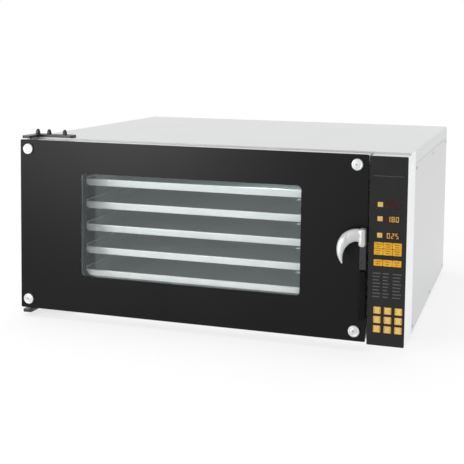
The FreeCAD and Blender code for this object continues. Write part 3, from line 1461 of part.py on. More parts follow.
def make_control_housing():
    """A folded box on the front frame, open at its back and in front of the circuit board."""
    body = new_body("control_housing")
    block = front_sketch(body, "housing_block", y_overlay_back)
    rounded_rectangle(block, (strip_x0, strip_z0), (right, strip_z1), d.strip_corner)
    pad(body, block, y_frame - y_overlay_back)
    inside = front_sketch(body, "housing_inside", y_overlay_back + d.strip_sheet)
    rounded_rectangle(inside, (strip_x0 + d.strip_sheet, strip_z0 + d.strip_sheet),
                      (right - d.strip_sheet, strip_z1 - d.strip_sheet), d.strip_corner - d.strip_sheet)
    pocket(body, inside, y_frame - y_overlay_back)
    opening = front_sketch(body, "housing_opening", y_overlay_back)
    rounded_rectangle(opening, (strip_x0 + d.housing_side_margin, strip_z0 + d.housing_end_margin),
                      (right - d.housing_side_margin, strip_z1 - d.housing_end_margin), d.strip_corner)
    pocket(body, opening, d.strip_sheet)
    return node(body)


def make_control_overlay():
    body = new_body("control_overlay")
    face = front_sketch(body, "overlay_face", y_glass)
    rounded_rectangle(face, (strip_x0, strip_z0), (right, strip_z1), d.strip_corner)
    pad(body, face, d.overlay_sheet)
    for name, places in (("lamp", LAMP_LENSES), ("display", DISPLAYS), ("field", FIELDS)):
        holes = front_sketch(body, f"overlay_{name}_holes", y_glass)
        for x, z, width, height in places:
            lens_outline(holes, x, z, width, height, d.fit, d.lens_corner)
        pocket(body, holes, d.overlay_sheet)
    keys = front_sketch(body, "overlay_key_hole", y_glass)
    x, z = key_place(KEY_ROWS - 1, 0)
    lens_outline(keys, x, z, d.key_width, d.key_height, d.fit, d.key_corner)
    hole = pocket(body, keys, d.overlay_sheet)
    grid = linear(body, hole, keys, "H_Axis", d.key_pitch_across, as_size(KEY_COLUMNS))
    grid.Direction2 = (keys, ["V_Axis"])
    bind(grid, "Occurrences2", KEY_ROWS)
    bind(grid, "Length2", d.key_pitch_up * (KEY_ROWS - 1))
    return node(body)


def make_control_board():
    """The circuit board on four posts behind the housing's front."""
    body = new_body("control_board")
    margin = d.strip_sheet + d.board_margin
    low = (strip_x0 + margin, strip_z0 + margin)
    high = (right - margin, strip_z1 - margin)
    board = front_sketch(body, "board_outline", y_board)
    rectangle(board, low, high)
    pad(body, board, d.board_sheet)
    posts = front_sketch(body, "board_posts", y_overlay_back + d.strip_sheet)
    inset = d.board_post
    for x in (low[0] + inset, high[0] - inset):
        for z in (low[1] + inset, high[1] - inset):
            circle(posts, (x, z), d.board_post)
    pad(body, posts, y_board - y_overlay_back - d.strip_sheet)
    return node(body)


def make_lenses(name, places):
    """Blocks from the circuit board to just in front of the overlay."""
    blocks = []
    for index, (x, z, width, height) in enumerate(places, start=1):
        body = new_body(f"{name}_{index}")
        face = front_sketch(body, f"{name}_{index}_face", y_glass - d.lens_proud)
        lens_outline(face, x, z, width, height, as_size(0), d.lens_corner)
        pad(body, face, y_board - y_glass + d.lens_proud)
        blocks.append(body)
    return node(group(name, blocks))


def make_keys():
    """Square keys with a flange behind the overlay and a stem that stops short of the board."""
    body = new_body("key_form")
    zero = as_size(0)
    face = front_sketch(body, "key_face", -d.key_proud)
    lens_outline(face, zero, zero, d.key_width, d.key_height, zero, d.key_corner)
    flange_y = d.overlay_sheet + d.fit / 2
    pad(body, face, d.key_proud + flange_y)
    flange = front_sketch(body, "key_flange_outline", flange_y)
    lens_outline(flange, zero, zero, d.key_width, d.key_height, d.key_flange, d.key_corner)
    pad(body, flange, d.key_flange_sheet)
    stem_y = flange_y + d.key_flange_sheet
    stem = front_sketch(body, "key_stem_ring", stem_y)
    circle(stem, (0, 0), d.key_stem)
    pad(body, stem, d.overlay_sheet + d.board_setback - d.key_travel - d.fit - stem_y)
    for index, (x, z) in enumerate(KEYS, start=1):
        node(placed(f"key_{index}", body, x, y_glass, z))


make_base_pan()
make_feet()
make_front_frame()
make_top_cover()
make_side_panel("left_side_panel", -1)
make_side_panel("right_side_panel", 1)
make_rear_panel()
make_casing_screws()
make_cavity()
make_insulation()
make_motors()
make_fans()
make_heaters()
make_fan_baffle()
make_rack("rack_left", cavity_x0, 1)
make_rack("rack_right", cavity_x1, -1)
make_trays()
make_lamp()
make_temperature_probe()
make_exhaust_pipe()
make_cable_gland()
make_door_gasket()
make_door_glass()
make_door_mask()
make_door_frame()
make_inner_glass()
make_glass_caps()
make_hinge_bushes()
make_strap("hinge_strap_top", top_z, top_z - d.pin_seat, d.pin_seat, TOP_BOLTS)
make_strap("hinge_strap_low", floor_z - d.strap_sheet, floor_z, d.pin_seat, LOW_BOLTS)
make_hinge_bolts()
plate_low = handle_z - d.plate_below
make_edge_plate("handle_plate", plate_low, handle_z + d.plate_above, d.plate_depth, True)
make_edge_plate("latch_cover", plate_low - d.cover_gap - d.cover_height, plate_low - d.cover_gap,
                d.cover_depth, False)
make_lever()
make_spindle()
make_latch_keeper()
make_control_housing()
make_control_overlay()
make_control_board()
make_lenses("indicator_lamps", LAMP_LENSES)
make_lenses("digit_displays", DISPLAYS)
make_lenses("programme_fields", FIELDS)
make_keys()
doc.recompute()

faults = [item.Name for item in doc.Objects if "Invalid" in item.State or "Error" in item.State]
if faults:
    raise RuntimeError("not built: " + ", ".join(faults))
for item in doc.Objects:
    if item.TypeId == "PartDesign::Pocket" and not item.Shape.Volume < item.BaseFeature.Shape.Volume:
        faults.append(f"{item.Name} cuts nothing")
for item in nodes:
    if item.Shape.isNull() or not item.Shape.isValid() or not item.Shape.Solids:
        faults.append(f"{item.Name} is no valid solid")
if faults:
    raise RuntimeError("; ".join(faults))

os.makedirs("parts", exist_ok=True)
for item in nodes:
    item.Label = item.Name
    item.Shape.exportStep(f"parts/{item.Name}.step")
print(len(nodes), "sub-parts written")
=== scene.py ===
import json
import math

import bmesh
import bpy
from mathutils import Matrix, Vector

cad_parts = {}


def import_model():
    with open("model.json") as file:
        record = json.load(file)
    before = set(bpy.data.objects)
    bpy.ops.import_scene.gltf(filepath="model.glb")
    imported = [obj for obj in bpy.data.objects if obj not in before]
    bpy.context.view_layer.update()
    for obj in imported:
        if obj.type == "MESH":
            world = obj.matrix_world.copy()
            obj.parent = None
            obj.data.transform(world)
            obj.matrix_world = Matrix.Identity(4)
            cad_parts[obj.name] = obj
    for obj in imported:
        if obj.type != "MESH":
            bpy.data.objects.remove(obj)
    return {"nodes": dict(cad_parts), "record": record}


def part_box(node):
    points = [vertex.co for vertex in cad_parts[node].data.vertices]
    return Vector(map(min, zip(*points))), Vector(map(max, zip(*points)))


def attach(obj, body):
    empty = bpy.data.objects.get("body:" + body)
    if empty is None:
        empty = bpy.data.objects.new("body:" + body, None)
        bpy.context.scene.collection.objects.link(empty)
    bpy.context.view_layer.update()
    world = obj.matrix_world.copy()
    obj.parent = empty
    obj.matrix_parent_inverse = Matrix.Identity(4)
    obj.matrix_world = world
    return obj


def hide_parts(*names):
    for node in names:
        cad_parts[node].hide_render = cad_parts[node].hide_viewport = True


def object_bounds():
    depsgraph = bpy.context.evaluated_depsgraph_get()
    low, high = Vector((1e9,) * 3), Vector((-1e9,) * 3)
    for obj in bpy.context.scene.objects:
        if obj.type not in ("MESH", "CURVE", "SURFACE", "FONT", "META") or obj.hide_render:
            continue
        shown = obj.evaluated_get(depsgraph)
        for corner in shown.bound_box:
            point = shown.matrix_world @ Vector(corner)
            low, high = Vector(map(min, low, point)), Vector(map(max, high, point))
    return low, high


# Looks of an electric convection oven, in metres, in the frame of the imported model:
# +X to the right seen from the front, +Y to the back, +Z up, origin on the floor.
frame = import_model()
cad_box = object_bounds()
nodes = frame["nodes"]
MM = 0.001
TINY = 1e-5
FULL_TURN = 2 * math.pi
EVEN = (1, 1, 1)
UP = Vector((0, 0, 1))
TO_FRONT = (0, -1, 0)
WHITE = (1, 1, 1, 1)

# Materials, by name
looks = {}


class Surface:
    """A Principled material, kept in looks, with helpers for procedural detail in object coordinates."""

    def __init__(self, name, colour, metallic, roughness):
        self.material = bpy.data.materials.new(name)
        self.material.use_nodes = True
        self.tree = self.material.node_tree
        self.shader = self.tree.nodes["Principled BSDF"]
        self.output = self.tree.nodes["Material Output"]
        self.set("Base Color", (*colour, 1.0))
        self.set("Metallic", metallic)
        self.set("Roughness", roughness)
        looks[name] = self.material

    def set(self, socket, value):
        self.shader.inputs[socket].default_value = value

    def add(self, kind, **settings):
        item = self.tree.nodes.new(kind)
        for key, value in settings.items():
            setattr(item, key, value)
        return item

    def link(self, source, target):
        self.tree.links.new(source, target)

    def place(self, stretch):
        """Object coordinates, stretched so that a small factor gives long streaks."""
        coordinates = self.add("ShaderNodeTexCoord")
        mapping = self.add("ShaderNodeMapping")
        mapping.inputs["Scale"].default_value = stretch
        self.link(coordinates.outputs["Object"], mapping.inputs["Vector"])
        return mapping.outputs["Vector"]

    def noise(self, size, stretch=EVEN, detail=3.0, distortion=0.0):
        """Noise whose grains are about size metres across."""
        item = self.add("ShaderNodeTexNoise")
        item.inputs["Scale"].default_value = 1.0 / size
        item.inputs["Detail"].default_value = detail
        item.inputs["Distortion"].default_value = distortion
        self.link(self.place(stretch), item.inputs["Vector"])
        return item.outputs["Fac"]

    def cells(self, size):
        """Rounded cells that are about size metres across."""
        item = self.add("ShaderNodeTexVoronoi")
        item.inputs["Scale"].default_value = 1.0 / size
        self.link(self.place(EVEN), item.inputs["Vector"])
        return item.outputs["Distance"]

    def math(self, kind, first, second):
        item = self.add("ShaderNodeMath", operation=kind)
        for index, value in enumerate((first, second)):
            if isinstance(value, (int, float)):
                item.inputs[index].default_value = value
            else:
                self.link(value, item.inputs[index])
        return item.outputs[0]

    def spread(self, source, low, high, start=0.3, end=0.7):
        """The source's range from start to end, stretched to low to high."""
        item = self.add("ShaderNodeMapRange")
        for socket, value in (("From Min", start), ("From Max", end), ("To Min", low), ("To Max", high)):
            item.inputs[socket].default_value = value
        self.link(source, item.inputs["Value"])
        return item.outputs["Result"]

    def tint(self, source, dark, light, start=0.3, end=0.7):
        ramp = self.add("ShaderNodeValToRGB")
        for element, position, colour in zip(ramp.color_ramp.elements, (start, end), (dark, light)):
            element.position = position
            element.color = (*colour, 1)
        self.link(source, ramp.inputs["Fac"])
        self.link(ramp.outputs["Color"], self.shader.inputs["Base Color"])

    def roughen(self, source, low, high):
        self.link(self.spread(source, low, high), self.shader.inputs["Roughness"])

    def bump(self, source, strength, depth):
        item = self.add("ShaderNodeBump")
        item.inputs["Strength"].default_value = strength
        item.inputs["Distance"].default_value = depth
        self.link(source, item.inputs["Height"])
        self.link(item.outputs["Normal"], self.shader.inputs["Normal"])

    def show(self, other, share):
        """Show another shader in place of this one by a share."""
        mix = self.add("ShaderNodeMixShader")
        self.link(share, mix.inputs["Fac"])
        self.link(self.shader.outputs["BSDF"], mix.inputs[1])
        self.link(other, mix.inputs[2])
        self.link(mix.outputs["Shader"], self.output.inputs["Surface"])


def scaled(colour, factor):
    return tuple(min(1.0, channel * factor) for channel in colour)


def brushed(name, colour, grain, roughness=0.34, contrast=0.07, metallic=1.0):
    """Stainless sheet with fine streaks along the small factor of grain and faint handling marks."""
    surface = Surface(name, colour, metallic, roughness)
    streaks = surface.noise(size=1.6 * MM, stretch=grain, detail=4.0)
    clouds = surface.noise(size=160 * MM, detail=3.0, distortion=0.6)
    streak_share, cloud_share = 0.62, 0.38
    fine = surface.math("MULTIPLY", streaks, streak_share)
    coarse = surface.math("MULTIPLY", clouds, cloud_share)
    mixed = surface.math("ADD", fine, coarse)
    surface.tint(mixed, scaled(colour, 1 - contrast), scaled(colour, 1 + contrast))
    surface.roughen(mixed, low=roughness - 0.09, high=roughness + 0.1)
    surface.bump(streaks, strength=0.12, depth=0.06 * MM)


def moulded(name, colour, roughness, grain=1.2 * MM, depth=0.08 * MM, contrast=0.12, strength=0.25,
            level=0.5):
    """Plastic, paint or rubber with a fine skin texture and slow changes of tone."""
    surface = Surface(name, colour, 0.0, roughness)
    surface.set("Specular IOR Level", level)
    clouds = surface.noise(size=45 * MM, detail=4.0, distortion=0.4)
    texture = surface.noise(size=grain, detail=2.0)
    surface.tint(clouds, scaled(colour, 1 - contrast), scaled(colour, 1 + contrast))
    surface.roughen(clouds, low=roughness - 0.07, high=roughness + 0.07)
    surface.bump(texture, strength, depth)


def polished(name, colour, roughness):
    """Bright plated metal with faint wiping marks."""
    surface = Surface(name, colour, 1.0, roughness)
    marks = surface.noise(size=20 * MM, stretch=(1, 1, 0.35), detail=5.0, distortion=1.2)
    surface.tint(marks, dark=scaled(colour, 0.95), light=scaled(colour, 1.03))
    surface.roughen(marks, low=roughness * 0.6, high=roughness * 1.6)
    surface.bump(surface.noise(size=6 * MM, detail=2.0), strength=0.04, depth=0.05 * MM)


def clear(name, tint, ior, sheen):
    """Glass that lets lamps and soft light through to what lies behind it."""
    surface = Surface(name, tint, 0.0, 0.0)
    surface.set("Transmission Weight", 1.0)
    surface.set("IOR", ior)
    surface.set("Specular Tint", (*sheen, 1.0))
    smear = surface.noise(size=90 * MM, stretch=(1, 1, 0.4), detail=5.0, distortion=0.8)
    surface.tint(smear, dark=scaled(tint, 0.985), light=tint)
    path = surface.add("ShaderNodeLightPath")
    through = surface.add("ShaderNodeBsdfTransparent")
    through.inputs["Color"].default_value = (*tint, 1)
    soft = surface.math("MAXIMUM", path.outputs["Is Shadow Ray"], path.outputs["Is Diffuse Ray"])
    surface.show(through.outputs["BSDF"], soft)


def coated(name, colour, roughness, level):
    """Black coating under glass: a deep even tone with a soft sheen and slow wiping marks."""
    surface = Surface(name, colour, 0.0, roughness)
    surface.set("Specular IOR Level", level)
    wipes = surface.noise(size=250 * MM, stretch=(1, 1, 0.5), detail=2.0, distortion=0.5)
    surface.tint(wipes, dark=scaled(colour, 0.8), light=scaled(colour, 1.2))
    surface.roughen(wipes, low=roughness - 0.015, high=roughness + 0.015)


def lens(name, colour, glow, roughness=0.22, level=0.2):
    """Translucent print or lens with a slightly uneven tone and a weak glow of its own."""
    surface = Surface(name, colour, 0.0, roughness)
    surface.set("Specular IOR Level", level)
    clouds = surface.noise(size=12 * MM, detail=3.0)
    surface.tint(clouds, dark=scaled(colour, 0.86), light=scaled(colour, 1.1))
    surface.roughen(clouds, low=roughness - 0.08, high=roughness + 0.1)
    surface.bump(surface.noise(size=0.6 * MM, detail=1.0), strength=0.15, depth=0.04 * MM)
    surface.set("Emission Color", (*colour, 1))
    surface.set("Emission Strength", glow)


def wool(name, colour):
    """Mineral wool, matted from long fibres."""
    surface = Surface(name, colour, metallic=0.0, roughness=0.95)
    fibres = surface.noise(size=4 * MM, stretch=(1, 0.25, 1), detail=6.0, distortion=2.0)
    surface.tint(fibres, dark=scaled(colour, 0.7), light=scaled(colour, 1.2))
    surface.roughen(fibres, low=0.85, high=1.0)
    surface.bump(fibres, strength=0.7, depth=1.5 * MM)


def circuit(name, colour):
    """Lacquered board with lighter lands round its tracks."""
    surface = Surface(name, colour, metallic=0.0, roughness=0.35)
    tracks = surface.cells(size=6 * MM)
    surface.tint(tracks, dark=scaled(colour, 1.6), light=scaled(colour, 0.7), start=0.2, end=0.45)
    surface.roughen(tracks, low=0.25, high=0.5)
    surface.bump(tracks, strength=0.2, depth=0.1 * MM)


ALONG_X = (0.012, 1, 1)
ALONG_Y = (1, 0.012, 1)
ALONG_Z = (1, 1, 0.012)
STEEL = (0.70, 0.705, 0.705)
PRINTED = {"grain": 0.6 * MM, "depth": 0.02 * MM}
KEY_SKIN = {"grain": 0.5 * MM, "depth": 0.04 * MM, "contrast": 0.06, "level": 0.2}
COAT = {"grain": 0.8 * MM, "depth": 0.02 * MM, "contrast": 0.2, "strength": 0.05, "level": 0.0}
SATIN = {"grain": 2 * MM, "depth": 0.02 * MM, "contrast": 0.2, "strength": 0.1, "level": 0.08}
GLOSS = {"grain": 3 * MM, "depth": 0.02 * MM, "contrast": 0.15, "strength": 0.1, "level": 0.28}
RUBBER = {"grain": 0.9 * MM, "depth": 0.2 * MM, "contrast": 0.25, "strength": 0.5}

brushed("casing_steel", STEEL, ALONG_X, roughness=0.42)
# The casing steel made a little darker: painted shade on the side panels
brushed("side_steel_painted_shade", scaled(STEEL, 0.91), ALONG_Y)
# The casing steel made 1.3 times brighter: painted light on the sides of the front frame and control housing
brushed("front_steel_painted_light", scaled(STEEL, 1.3), ALONG_Z, roughness=0.52)
# A darker, rougher copy of the casing steel: painted shade on the front frame's front faces
brushed("frame_face_painted_shade", scaled(STEEL, 0.82), ALONG_X, roughness=0.6)
# Much darker than the casing steel and tinted teal: painted shade of the oven's inside
brushed("cavity_steel", (0.31, 0.35, 0.345), ALONG_X, roughness=0.42, contrast=0.14)
brushed("heater_steel", (0.24, 0.23, 0.22), EVEN, roughness=0.5, contrast=0.25)
brushed("fastener_steel", (0.55, 0.55, 0.55), EVEN, roughness=0.3, contrast=0.12)
brushed("tray_aluminium", (0.94, 0.955, 0.955), ALONG_X, roughness=0.5, contrast=0.03, metallic=0.2)
# A dark teal copy of the pan metal: painted shade on the pans' insides
brushed("tray_painted_shade", (0.24, 0.30, 0.295), ALONG_X, roughness=0.55, contrast=0.2, metallic=0.3)
moulded("black_paint", (0.014, 0.014, 0.015), roughness=0.36)
moulded("black_coat", (0.003, 0.003, 0.0032), roughness=0.4, **COAT)
coated("coated_glass", (0.002, 0.002, 0.0021), roughness=0.335, level=0.17)
moulded("black_satin", (0.004, 0.004, 0.0043), roughness=0.38, **SATIN)
moulded("black_gloss", (0.008, 0.008, 0.0085), roughness=0.16, **GLOSS)
moulded("black_rubber", (0.022, 0.022, 0.023), roughness=0.75, **RUBBER)
moulded("motor_paint", (0.045, 0.048, 0.052), roughness=0.45)
moulded("grey_plastic", (0.075, 0.08, 0.08), roughness=0.5, grain=0.8 * MM, depth=0.1 * MM)
moulded("key_yellow", (0.50, 0.285, 0.05), roughness=0.4, **KEY_SKIN)
# A paler copy of the key yellow: painted highlight on the middle of each key's crown
moulded("key_pale", (0.67, 0.45, 0.135), roughness=0.42, **KEY_SKIN)
polished("chrome", (0.57, 0.575, 0.58), roughness=0.52)
polished("cap_chrome", (0.64, 0.65, 0.66), roughness=0.42)
# A darker chrome: painted shade in the glass caps' dimples
polished("dimple_painted_shade", (0.5, 0.51, 0.52), roughness=0.28)
polished("dark_chrome", (0.05, 0.051, 0.053), roughness=0.3)
clear("clear_glass", tint=(0.978, 0.992, 0.989), ior=1.42, sheen=(0.91, 1.0, 0.995))
lens("amber_lens", (0.60, 0.315, 0.018), glow=0.06)
lens("pale_amber", (0.56, 0.36, 0.10), glow=0.05)
lens("dim_amber", (0.55, 0.34, 0.08), glow=0.12)
lens("dark_red_lens", (0.03, 0.008, 0.006), glow=0.0)
moulded("legend_grey", (0.05, 0.051, 0.049), roughness=0.5, **PRINTED)
moulded("legend_dark", (0.02, 0.015, 0.01), roughness=0.4, **PRINTED)
wool("mineral_wool", (0.55, 0.48, 0.3))
circuit("board_green", (0.02, 0.12, 0.04))

# Nodes whose look isn't that of their slot
OTHER_LOOKS = {
    "left_side_panel": "side_steel_painted_shade", "right_side_panel": "side_steel_painted_shade", "front_frame": "front_steel_painted_light",
    "control_housing": "front_steel_painted_light", "heater_left": "heater_steel", "heater_right": "heater_steel",
    "handle_plate": "dark_chrome", "door_frame": "casing_steel",
}
for part in frame["record"]["subparts"]:
    node_mesh = nodes[part["node"]].data
    node_mesh.materials.clear()
    node_mesh.materials.append(looks[OTHER_LOOKS.get(part["node"], part["material_slot"])])

# Mesh helpers


def joint_place(name):
    """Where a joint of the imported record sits."""
    joints = frame["record"]["behaviour"]["joints"]
    return Vector(next(joint["pos_m"] for joint in joints if joint["name"] == name))


def opening(name):
    """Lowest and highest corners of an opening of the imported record."""
    openings = frame["record"]["physics"]["openings"]
    return [Vector(corner) for corner in next(item["box_m"] for item in openings if item["name"] == name)]


def linked(name, data):
    """A new object in the scene."""
    item = bpy.data.objects.new(name, data)
    bpy.context.scene.collection.objects.link(item)
    return item


def baked(item):
    """A new mesh with an object's modifiers applied."""
    evaluated = item.evaluated_get(bpy.context.evaluated_depsgraph_get())
    return bpy.data.meshes.new_from_object(evaluated)


def from_bmesh(name, form):
    bmesh.ops.recalc_face_normals(form, faces=form.faces)
    mesh = bpy.data.meshes.new(name)
    form.to_mesh(mesh)
    form.free()
    return mesh


def dressed(name, mesh, look, body, slot, *replaced):
    """Link a mesh as a piece that rides on a body."""
    piece = linked(name, mesh)
    mesh.materials.clear()
    mesh.materials.append(looks[look])
    for face in mesh.polygons:
        face.use_smooth = True
    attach(piece, body)
    if replaced:
        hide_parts(*replaced)
    return piece


def finished(name, form, look, body, slot, *replaced):
    """Turn a bmesh into a piece that rides on a body."""
    return dressed(name, from_bmesh(name, form), look, body, slot, *replaced)


def second_look(piece, look, chosen):
    """Give the chosen faces another material."""
    piece.data.materials.append(looks[look])
    for face in piece.data.polygons:
        if chosen(face):
            face.material_index = len(piece.data.materials) - 1


def sharpen(piece, degrees=35):
    """Keep edges steeper than the angle crisp."""
    piece.data.set_sharp_from_angle(angle=math.radians(degrees))


def between(ends, share):
    return ends[0] + (ends[1] - ends[0]) * share


def about(x, z, half_a, half_b):
    """The two (x, z) corners of a rectangle about a point."""
    return (x - half_a, z - half_b), (x + half_a, z + half_b)


def in_mm(points, rise=0.0):
    """Profile points (radius, height) given in millimetres, raised to a height in metres."""
    return [(radius * MM, rise + height * MM) for radius, height in points]


def skin(form, loops, closed=True):
    """Bridge equally long loops of points into a surface in form, with its ends filled if closed."""
    rings = [[form.verts.new(point) for point in loop] for loop in loops]
    for low, high in zip(rings, rings[1:]):
        count = len(low)
        for index in range(count):
            after = (index + 1) % count
            form.faces.new((low[index], low[after], high[after], high[index]))
    if closed:
        form.faces.new(rings[0][::-1])
        form.faces.new(rings[-1])
    return rings


def rounded(half_a, half_b, radius, steps):
    """Points of a rounded rectangle about the origin, anticlockwise."""
    radius = max(TINY, min(radius, half_a - TINY, half_b - TINY))
    points = []
    for quarter, (sign_a, sign_b) in enumerate(((1, 1), (-1, 1), (-1, -1), (1, -1))):
        for step in range(steps + 1):
            angle = math.radians(90 * quarter + 90 * step / steps)
            points.append((sign_a * (half_a - radius) + radius * math.cos(angle),
                           sign_b * (half_b - radius) + radius * math.sin(angle)))
    return points


def facing(points, x, y, z):
    """Plan points (a, b) as points on a plane that faces the front."""
    return [Vector((x + a, y, z + b)) for a, b in points]


EDGE_STEPS = 4
CROWN_SHARES = (0.66, 0.33)


def pillow(form, low, high, y_back, y_front, corner, edge, crown=0.0, steps=6):
    """A slab facing the front between two (x, z) corners, with a rounded front edge and a crown."""
    x, z = (low[0] + high[0]) / 2, (low[1] + high[1]) / 2
    half_a, half_b = (high[0] - low[0]) / 2, (high[1] - low[1]) / 2
    loops = [facing(rounded(half_a, half_b, corner, steps), x, y_back, z)]
    for step in range(EDGE_STEPS + 1):
        angle = math.radians(90 * step / EDGE_STEPS)
        inset = edge * (1 - math.cos(angle))
        y = y_front + crown + edge * (1 - math.sin(angle))
        loops.append(facing(rounded(half_a - inset, half_b - inset, corner - inset, steps), x, y, z))
    for share in CROWN_SHARES:
        y = y_front + crown * share * share
        a, b = (half_a - edge) * share, (half_b - edge) * share
        loops.append(facing(rounded(a, b, corner * share, steps), x, y, z))
    skin(form, loops)


def turned(form, profile, origin, axis, segments, ripple=None):
    """Revolve (radius, height) points about an axis; ripple(radius, angle) may change a radius."""
    axis = Vector(axis).normalized()
    side = axis.orthogonal().normalized()
    other = axis.cross(side)
    loops = []
    for radius, height in profile:
        loop = []
        for index in range(segments):
            angle = FULL_TURN * index / segments
            reach = max(radius, TINY)
            if ripple:
                reach += ripple(radius, angle)
            outward = side * math.cos(angle) + other * math.sin(angle)
            loop.append(Vector(origin) + axis * height + outward * reach)
        loops.append(loop)
    skin(form, loops)


def arc(centre_r, centre_h, radius, start, end, steps):
    """Profile points on an arc, angles in degrees from outward."""
    points = []
    for step in range(steps + 1):
        angle = math.radians(start + (end - start) * step / steps)
        points.append((centre_r + radius * math.cos(angle), centre_h + radius * math.sin(angle)))
    return points


WELD_DIGITS = 5
SORT_DIGITS = 4


def islands(node):
    """Lowest and highest corners of each separate solid of a CAD node, from the left."""
    mesh = nodes[node].data
    places = {}
    parent = []

    def find(item):
        while parent[item] != item:
            item = parent[item]
        return item

    index_of = []
    for vertex in mesh.vertices:
        key = tuple(round(value, WELD_DIGITS) for value in vertex.co)
        if key not in places:
            places[key] = len(parent)
            parent.append(len(parent))
        index_of.append(places[key])
    for face in mesh.polygons:
        first = find(index_of[face.vertices[0]])
        for corner in face.vertices[1:]:
            parent[find(index_of[corner])] = first
    groups = {}
    for key, index in places.items():
        groups.setdefault(find(index), []).append(key)
    boxes = []
    for points in groups.values():
        low = Vector([min(point[axis] for point in points) for axis in range(3)])
        high = Vector([max(point[axis] for point in points) for axis in range(3)])
        boxes.append((low, high))
    return sorted(boxes, key=lambda pair: [round(pair[0][axis], SORT_DIGITS) for axis in (0, 2, 1)])


# Door

door_low, door_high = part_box("door_glass")
mask_low, mask_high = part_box("door_mask")
sight_low, sight_high = opening("door_window_gap")
WINDOW_MARGIN = 2 * MM
WINDOW_HEADROOM = 4 * MM
WINDOW_CORNER = 12 * MM
GLASS_CORNER = 4 * MM
GROUND_EDGE = 0.7 * MM
RING_STEPS = 8
COLLAR_REACH = 12 * MM
COLLAR_TILT = 0.5
FACING_LEAST = 0.7


def door_rings(inset, y):
    """The door's outline, inset, and the window's outline, at one depth."""
    x, z = (door_low.x + door_high.x) / 2, (door_low.z + door_high.z) / 2
    half_a = (door_high.x - door_low.x) / 2 - inset
    half_b = (door_high.z - door_low.z) / 2 - inset
    outer = facing(rounded(half_a, half_b, GLASS_CORNER - inset, RING_STEPS), x, y, z)
    x, z = (sight_low.x + sight_high.x) / 2, (sight_low.z + sight_high.z + WINDOW_HEADROOM) / 2
    half_a = (sight_high.x - sight_low.x) / 2 + WINDOW_MARGIN
    half_b = (sight_high.z - sight_low.z + WINDOW_HEADROOM) / 2 + WINDOW_MARGIN
    return outer, facing(rounded(half_a, half_b, WINDOW_CORNER, RING_STEPS), x, y, z)


def door_pane():
    """The outer glass with ground edges, coated black round a clear window."""
    front, back = door_low.y, door_high.y
    front_outer, front_window = door_rings(GROUND_EDGE, front)
    back_outer, back_window = door_rings(GROUND_EDGE, back)
    front_side = door_rings(0, front + GROUND_EDGE)[0]
    back_side = door_rings(0, back - GROUND_EDGE)[0]
    loops = [back_window, back_outer, back_side, front_side, front_outer, front_window]
    form = bmesh.new()
    skin(form, loops)
    piece = finished("door_pane", form, "coated_glass", "door", "clear_glass", "door_glass")
    coated_faces = len(front_window) * (len(loops) - 1)
    second_look(piece, "clear_glass", lambda face: face.index >= coated_faces)
    sharpen(piece)


def door_print():
    """The coating's own thin layer behind the outer glass, with the window left clear."""
    front_outer, front_window = door_rings(GROUND_EDGE, mask_low.y)
    back_outer, back_window = door_rings(GROUND_EDGE, mask_high.y)
    form = bmesh.new()
    rings = skin(form, [front_outer, front_window, back_window, back_outer], closed=False)
    first, last = rings[0], rings[-1]
    for index in range(len(first)):
        after = (index + 1) % len(first)
        form.faces.new((last[index], last[after], first[after], first[index]))
    sharpen(finished("door_print", form, "black_coat", "door", "black_coat", "door_mask"))


def in_collar(face):
    """Whether a face of the door's frame lines the window's opening."""
    inside_x = sight_low.x - COLLAR_REACH < face.center.x < sight_high.x + COLLAR_REACH
    inside_z = sight_low.z - COLLAR_REACH < face.center.z < sight_high.z + COLLAR_REACH
    return inside_x and inside_z and abs(face.normal.y) < COLLAR_TILT


def on_top(face):
    return face.normal.z > FACING_LEAST


def in_front(face):
    return face.normal.y < -FACING_LEAST


door_pane()
door_print()
# The frame's collar round the window takes the motors' near-black paint: painted shade in the window's
# reveal
second_look(nodes["door_frame"], "motor_paint", in_collar)
# Steel tones chosen by the way each face turns, as painted light and shade: the tops keep the plain casing
# steel, the frame's front faces take a darker copy, and the sides keep the brighter copy
second_look(nodes["front_frame"], "casing_steel", on_top)
second_look(nodes["front_frame"], "frame_face_painted_shade", in_front)
second_look(nodes["control_housing"], "casing_steel", on_top)

# Glass caps, as (radius, height) in millimetres: heights from the glass, and then from the cap's face
CAP_SPACER = ((5.0, -15.0), (11.0, -14.4), (11.0, -6.4), (5.0, -6.2), (5.0, 0.0))
CAP_SKIRT = ((15.4, 0.0), (16.0, 0.5), (16.0, 3.2))
CAP_CROWN = ((10.6, -0.45), (9.9, -0.95), (9.2, -0.5), (7.0, -0.15), (4.6, 0.0), (3.4, -0.15))
CAP_DIMPLE = ((2.9, -0.9), (2.4, -1.9), (0.0, -2.0))
CAP_STEM = 5.0 * MM
CAP_SHOULDER = {"radius": 3.6 * MM, "start": 8, "end": 84, "steps": 8}
SHOULDER_RADIUS, SHOULDER_DROP = 12.4 * MM, 4.2 * MM
CAP_SIDES = 64
CAP_CREASE = 50


def glass_cap(number, low, high):
    """A turned cap on the glass with its stem and spacer behind."""
    face_height = door_low.y - low.y
    stem_end = -(high.y - door_low.y)
    profile = [(0.0, stem_end), (CAP_STEM, stem_end)] + in_mm(CAP_SPACER) + in_mm(CAP_SKIRT)
    profile += arc(SHOULDER_RADIUS, face_height - SHOULDER_DROP, **CAP_SHOULDER)
    profile += in_mm(CAP_CROWN + CAP_DIMPLE, face_height)
    form = bmesh.new()
    origin = ((low.x + high.x) / 2, door_low.y, (low.z + high.z) / 2)
    turned(form, profile, origin, TO_FRONT, CAP_SIDES)
    piece = finished(f"glass_cap_{number}", form, "cap_chrome", "door", "chrome", "glass_caps")
    dimple = CAP_SIDES * (len(profile) - 1 - len(CAP_DIMPLE))
    # The dimple's faces take the darker chrome: painted shade in the recess
    second_look(piece, "dimple_painted_shade", lambda face: face.center.y < door_low.y and face.index >= dimple)
    sharpen(piece, CAP_CREASE)


for cap_number, (corner_low, corner_high) in enumerate(islands("glass_caps"), start=1):
    glass_cap(cap_number, corner_low, corner_high)

